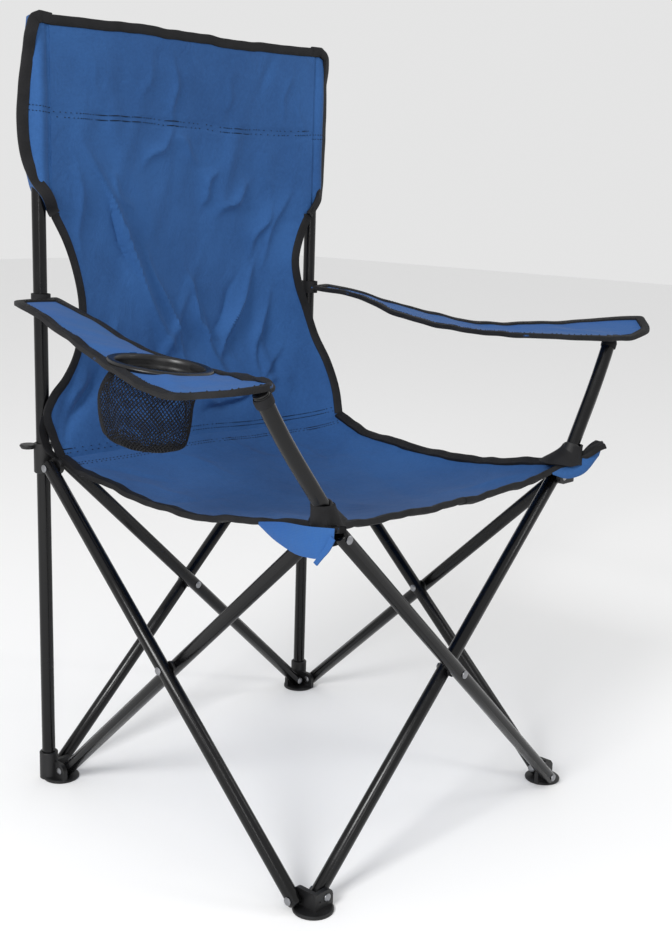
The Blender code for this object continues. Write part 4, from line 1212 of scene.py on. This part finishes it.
class CHAIR_OT_cup(ChairPiece, bpy.types.Operator):
    """Cup holder: a satin moulded ring with a lip, and a net pocket that hangs from it"""

    bl_idname = "chair.cup_holder"
    bl_label = "Cup holder"

    def make(self):
        s = sizes()
        centre, axis, first, second = ring_plane()
        profile = np.array([
            (0.0540, 0.0005), (0.0545, 0.0022), (0.0535, 0.0042), (0.0510, 0.0052), (0.0480, 0.0050),
            (0.0462, 0.0040), (0.0452, 0.0015), (0.0450, -0.0040), (0.0448, -0.0090), (0.0455, -0.0098),
            (0.0466, -0.0090), (0.0470, -0.0030), (0.0485, -0.0012), (0.0525, -0.0010),
        ])
        flat = np.column_stack([closed_up(profile), np.zeros(len(profile) + 1)])
        profile = smooth_line(flat, 57)[:-1, :2]
        turn = np.linspace(0, 2 * np.pi, 96, endpoint=False)
        spokes = np.cos(turn)[:, None] * first + np.sin(turn)[:, None] * second
        points = centre + profile[None, :, 0, None] * spokes[:, None] + profile[None, :, 1, None] * axis
        ring = piece("cup_ring_moulded", points, grid_faces(96, len(profile), True, True),
            finish_of("ring"), "cup_holder", sharp=60)
        outwards(ring)
        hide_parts("cup_ring")
        self.net(centre, axis, first, second, s)

    def net(self, centre, axis, first, second, s):
        """Cords on the pocket's surface in two crossing spirals: at angle t and depth d the pocket is a
        ring of radius r(d), slid sideways as it hangs, pleated a little, and drawn in at the bottom."""
        depth, wide, count, steps = s.pocket_depth, s.pocket_radius, s.net_strands, 46
        d = np.linspace(0, 1, steps)
        spread = 1 - np.clip((d - 0.72) / 0.28, 0, 1) ** 2.2
        belly = (wide - RING_INSIDE) * np.sin(np.pi * np.clip(d / 0.72, 0, 1)) ** 0.7
        radius = (RING_INSIDE + belly) * (0.04 + 0.96 * spread) * (1 - 0.10 * d)
        fall = -0.006 - depth * (1 - (1 - d) ** 1.25) * 0.94
        slide = np.array([-0.660, 0.751, 0.0]) * 0.014
        drift = np.sin(np.pi / 2 * np.clip(d / 0.35, 0, 1))
        lines = []
        for way in (-1, 1):
            start = np.arange(count)[:, None] / count * 2 * np.pi
            t = start + way * d[None] * 1.55
            pleat = 0.035 * np.sin(5 * t + 3 * d[None]) * np.sin(np.pi * d[None])
            reach = radius[None] * (1 + pleat + 0.02 * np.sin(11 * t + 1.3))
            across = np.cos(t)[..., None] * first + np.sin(t)[..., None] * second
            tilt = (1 - drift)[None, :, None] * axis + drift[None, :, None] * np.array([0.0, 0.0, 1.0])
            lines.append(centre + reach[..., None] * across + fall[None, :, None] * unit(tilt)
                + drift[None, :, None] * slide)
        strands = np.concatenate(lines)
        along = unit(np.gradient(strands, axis=1))
        out = unit(strands - (centre + fall[None, :, None] * np.array([0.0, 0.0, 1.0]) + slide * 0.8))
        side = unit(np.cross(along, out))
        out = np.cross(side, along)
        thick = 0.00048
        rings = strands[:, :, None] + thick * np.stack([side, out, -side, -out], 2)
        n, k = strands.shape[0], strands.shape[1]
        one = grid_faces(k, 4, False, True)
        faces = (one[None] + (np.arange(n) * k * 4)[:, None, None]).reshape(-1, 4).tolist()
        base = np.arange(n)[:, None] * k * 4
        faces += (base + [3, 2, 1, 0]).tolist() + (base + (k - 1) * 4 + [0, 1, 2, 3]).tolist()
        net = piece("cup_pocket_net", rings, faces, finish_of("net"), "cup_holder",
            sharp=180)
        outwards(net)
        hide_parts("cup_pocket")
        turn = np.linspace(0, 2 * np.pi, 40, endpoint=False)
        top = centre + axis * -0.0062
        around = top + 0.0462 * (np.cos(turn)[:, None] * first + np.sin(turn)[:, None] * second)
        hoop("cup_pocket_hem", around, 0.0013, 8, "cup_holder")


# ---------------------------------------------------------------- straps


class CHAIR_OT_straps(ChairPiece, bpy.types.Operator):
    """Straps: webbing from the back's lower corners to the sliders"""

    bl_idname = "chair.straps"
    bl_label = "Corner straps"

    def make(self):
        for side in (-1, 1):
            name = SIDE_NAME[side]
            line = smooth_line([(side * 0.2325, 0.2105, 0.458), (side * 0.2350, 0.2120, 0.445),
                (side * 0.2320, 0.2130, 0.430), (side * 0.2260, 0.2125, 0.416),
                (side * 0.2180, 0.2100, 0.407)], 40)
            wide = np.array([side * 0.0054, -0.0006, 0.0005])
            grid = np.stack([line - wide, line, line + wide], 0)
            made = webbing("slider_strap_" + name, grid, 0.0018, "slider_" + name)
            outwards(made)


# ---------------------------------------------------------------- stage


LONG_SIDE = 931  # the render is 672 wide and this high, and the lens shift is a share of its longer side
FLOOR_HALF = 9
CAMERA_PLACE = (-1.10358, -1.01586, 0.72799)  # from the frame's centre
CAMERA_AHEAD = (0.73261, 0.64646, -0.21298)
CAMERA_YAW, CAMERA_ROLL = 0.8478, 0.0316
LENS, SENSOR = 49.67, 36.0


class CHAIR_OT_stage(ChairPiece, bpy.types.Operator):
    """Stage: a plain pale floor, soft studio lights and the camera"""

    bl_idname = "chair.stage"
    bl_label = "Floor, lights and camera"

    def make(self):
        scene = bpy.context.scene
        floor, _, shader = surface("Pale seamless floor")
        shader_settings(shader, Base_Color=linear("F4F4F4"), Roughness=0.9)
        mesh = bpy.data.meshes.new("floor")
        corners = [(x * FLOOR_HALF, y * FLOOR_HALF, -0.0004) for x,
            y in ((-1, -1), (1, -1), (1, 1), (-1, 1))]
        mesh.from_pydata(corners, [], [(0, 1, 2, 3)])
        mesh.materials.append(floor)
        ground = bpy.data.objects.new("floor", mesh)
        scene.collection.objects.link(ground)
        scene.view_settings.view_transform = "Standard"
        world = bpy.data.worlds.new("studio")
        world.use_nodes = True
        world.node_tree.nodes["Background"].inputs["Color"].default_value = (1.0, 1.0, 1.0, 1.0)
        world.node_tree.nodes["Background"].inputs["Strength"].default_value = 0.78
        scene.world = world
        for name, place, aim, size, power in (
            ("key", (-2.6, -0.55, 1.9), (0.0, 0.0, 0.5), (0.9, 0.9), 62.0),
            ("fill", (1.7, -1.9, 1.9), (0.0, 0.0, 0.4), (0.25, 1.6), 9.0),
            ("strip", (-1.9, -2.0, 1.3), (-0.1, 0.0, 0.4), (0.16, 1.9), 10.0),
        ):
            lamp = bpy.data.lights.new(name, "AREA")
            lamp.shape, lamp.size, lamp.size_y, lamp.energy = "RECTANGLE", size[0], size[1], power
            held = bpy.data.objects.new(name, lamp)
            held.location = place
            held.rotation_euler = (Vector(aim) - Vector(place)).to_track_quat("-Z", "Y").to_euler()
            scene.collection.objects.link(held)
        self.camera(scene)

    def camera(self, scene):
        """The camera stands before the sitter's right front corner, a little above the armrests,
        looking slightly down."""
        ahead = Vector(CAMERA_AHEAD).normalized()
        yaw, roll = CAMERA_YAW, CAMERA_ROLL
        flat_right = Vector((math.cos(yaw), -math.sin(yaw), 0))
        up = flat_right.cross(ahead)
        right = flat_right * math.cos(roll) + up * math.sin(roll)
        up = up * math.cos(roll) - flat_right * math.sin(roll)
        lens = bpy.data.cameras.new("camera")
        lens.sensor_fit, lens.sensor_width, lens.lens = "AUTO", SENSOR, LENS
        lens.shift_x, lens.shift_y = -3.3 / LONG_SIDE, 1.5 / LONG_SIDE
        lens.clip_start, lens.clip_end = 0.05, 60.0
        held = bpy.data.objects.new("camera", lens)
        turn = Matrix((right, up, -ahead)).transposed()
        place = Vector(CENTRE) + Vector(CAMERA_PLACE)
        held.matrix_world = Matrix.Translation(place) @ turn.to_4x4()
        scene.collection.objects.link(held)
        scene.camera = held


class CHAIR_PT_panel(bpy.types.Panel):
    """The chair's pieces and settings"""

    bl_idname = "CHAIR_PT_panel"
    bl_label = "Folding camp chair"
    bl_space_type = "VIEW_3D"
    bl_region_type = "UI"
    bl_category = "Camp chair"

    def draw(self, context):
        for maker in PIECES:
            self.layout.operator(maker.bl_idname)
        for group in (context.scene.chair_sizes, context.scene.chair_colours):
            for name in group.__annotations__:
                self.layout.prop(group, name)


PIECES = (CHAIR_OT_tubes, CHAIR_OT_fittings, CHAIR_OT_rivets, CHAIR_OT_back, CHAIR_OT_seat,
    CHAIR_OT_armrests, CHAIR_OT_cup, CHAIR_OT_straps, CHAIR_OT_stage)
CLASSES = (ChairSizes, ChairColours, *PIECES, CHAIR_PT_panel)


def register():
    for each in CLASSES:
        bpy.utils.register_class(each)
    bpy.types.Scene.chair_sizes = bpy.props.PointerProperty(type=ChairSizes)
    bpy.types.Scene.chair_colours = bpy.props.PointerProperty(type=ChairColours)


def unregister():
    del bpy.types.Scene.chair_colours
    del bpy.types.Scene.chair_sizes
    for each in reversed(CLASSES):
        bpy.utils.unregister_class(each)


def main():
    register()
    bpy.ops.chair.tubes()
    bpy.ops.chair.fittings()
    bpy.ops.chair.rivets()
    bpy.ops.chair.back()
    bpy.ops.chair.seat()
    bpy.ops.chair.armrests()
    bpy.ops.chair.cup_holder()
    bpy.ops.chair.straps()
    bpy.ops.chair.stage()


if __name__ == "__main__":
    main()
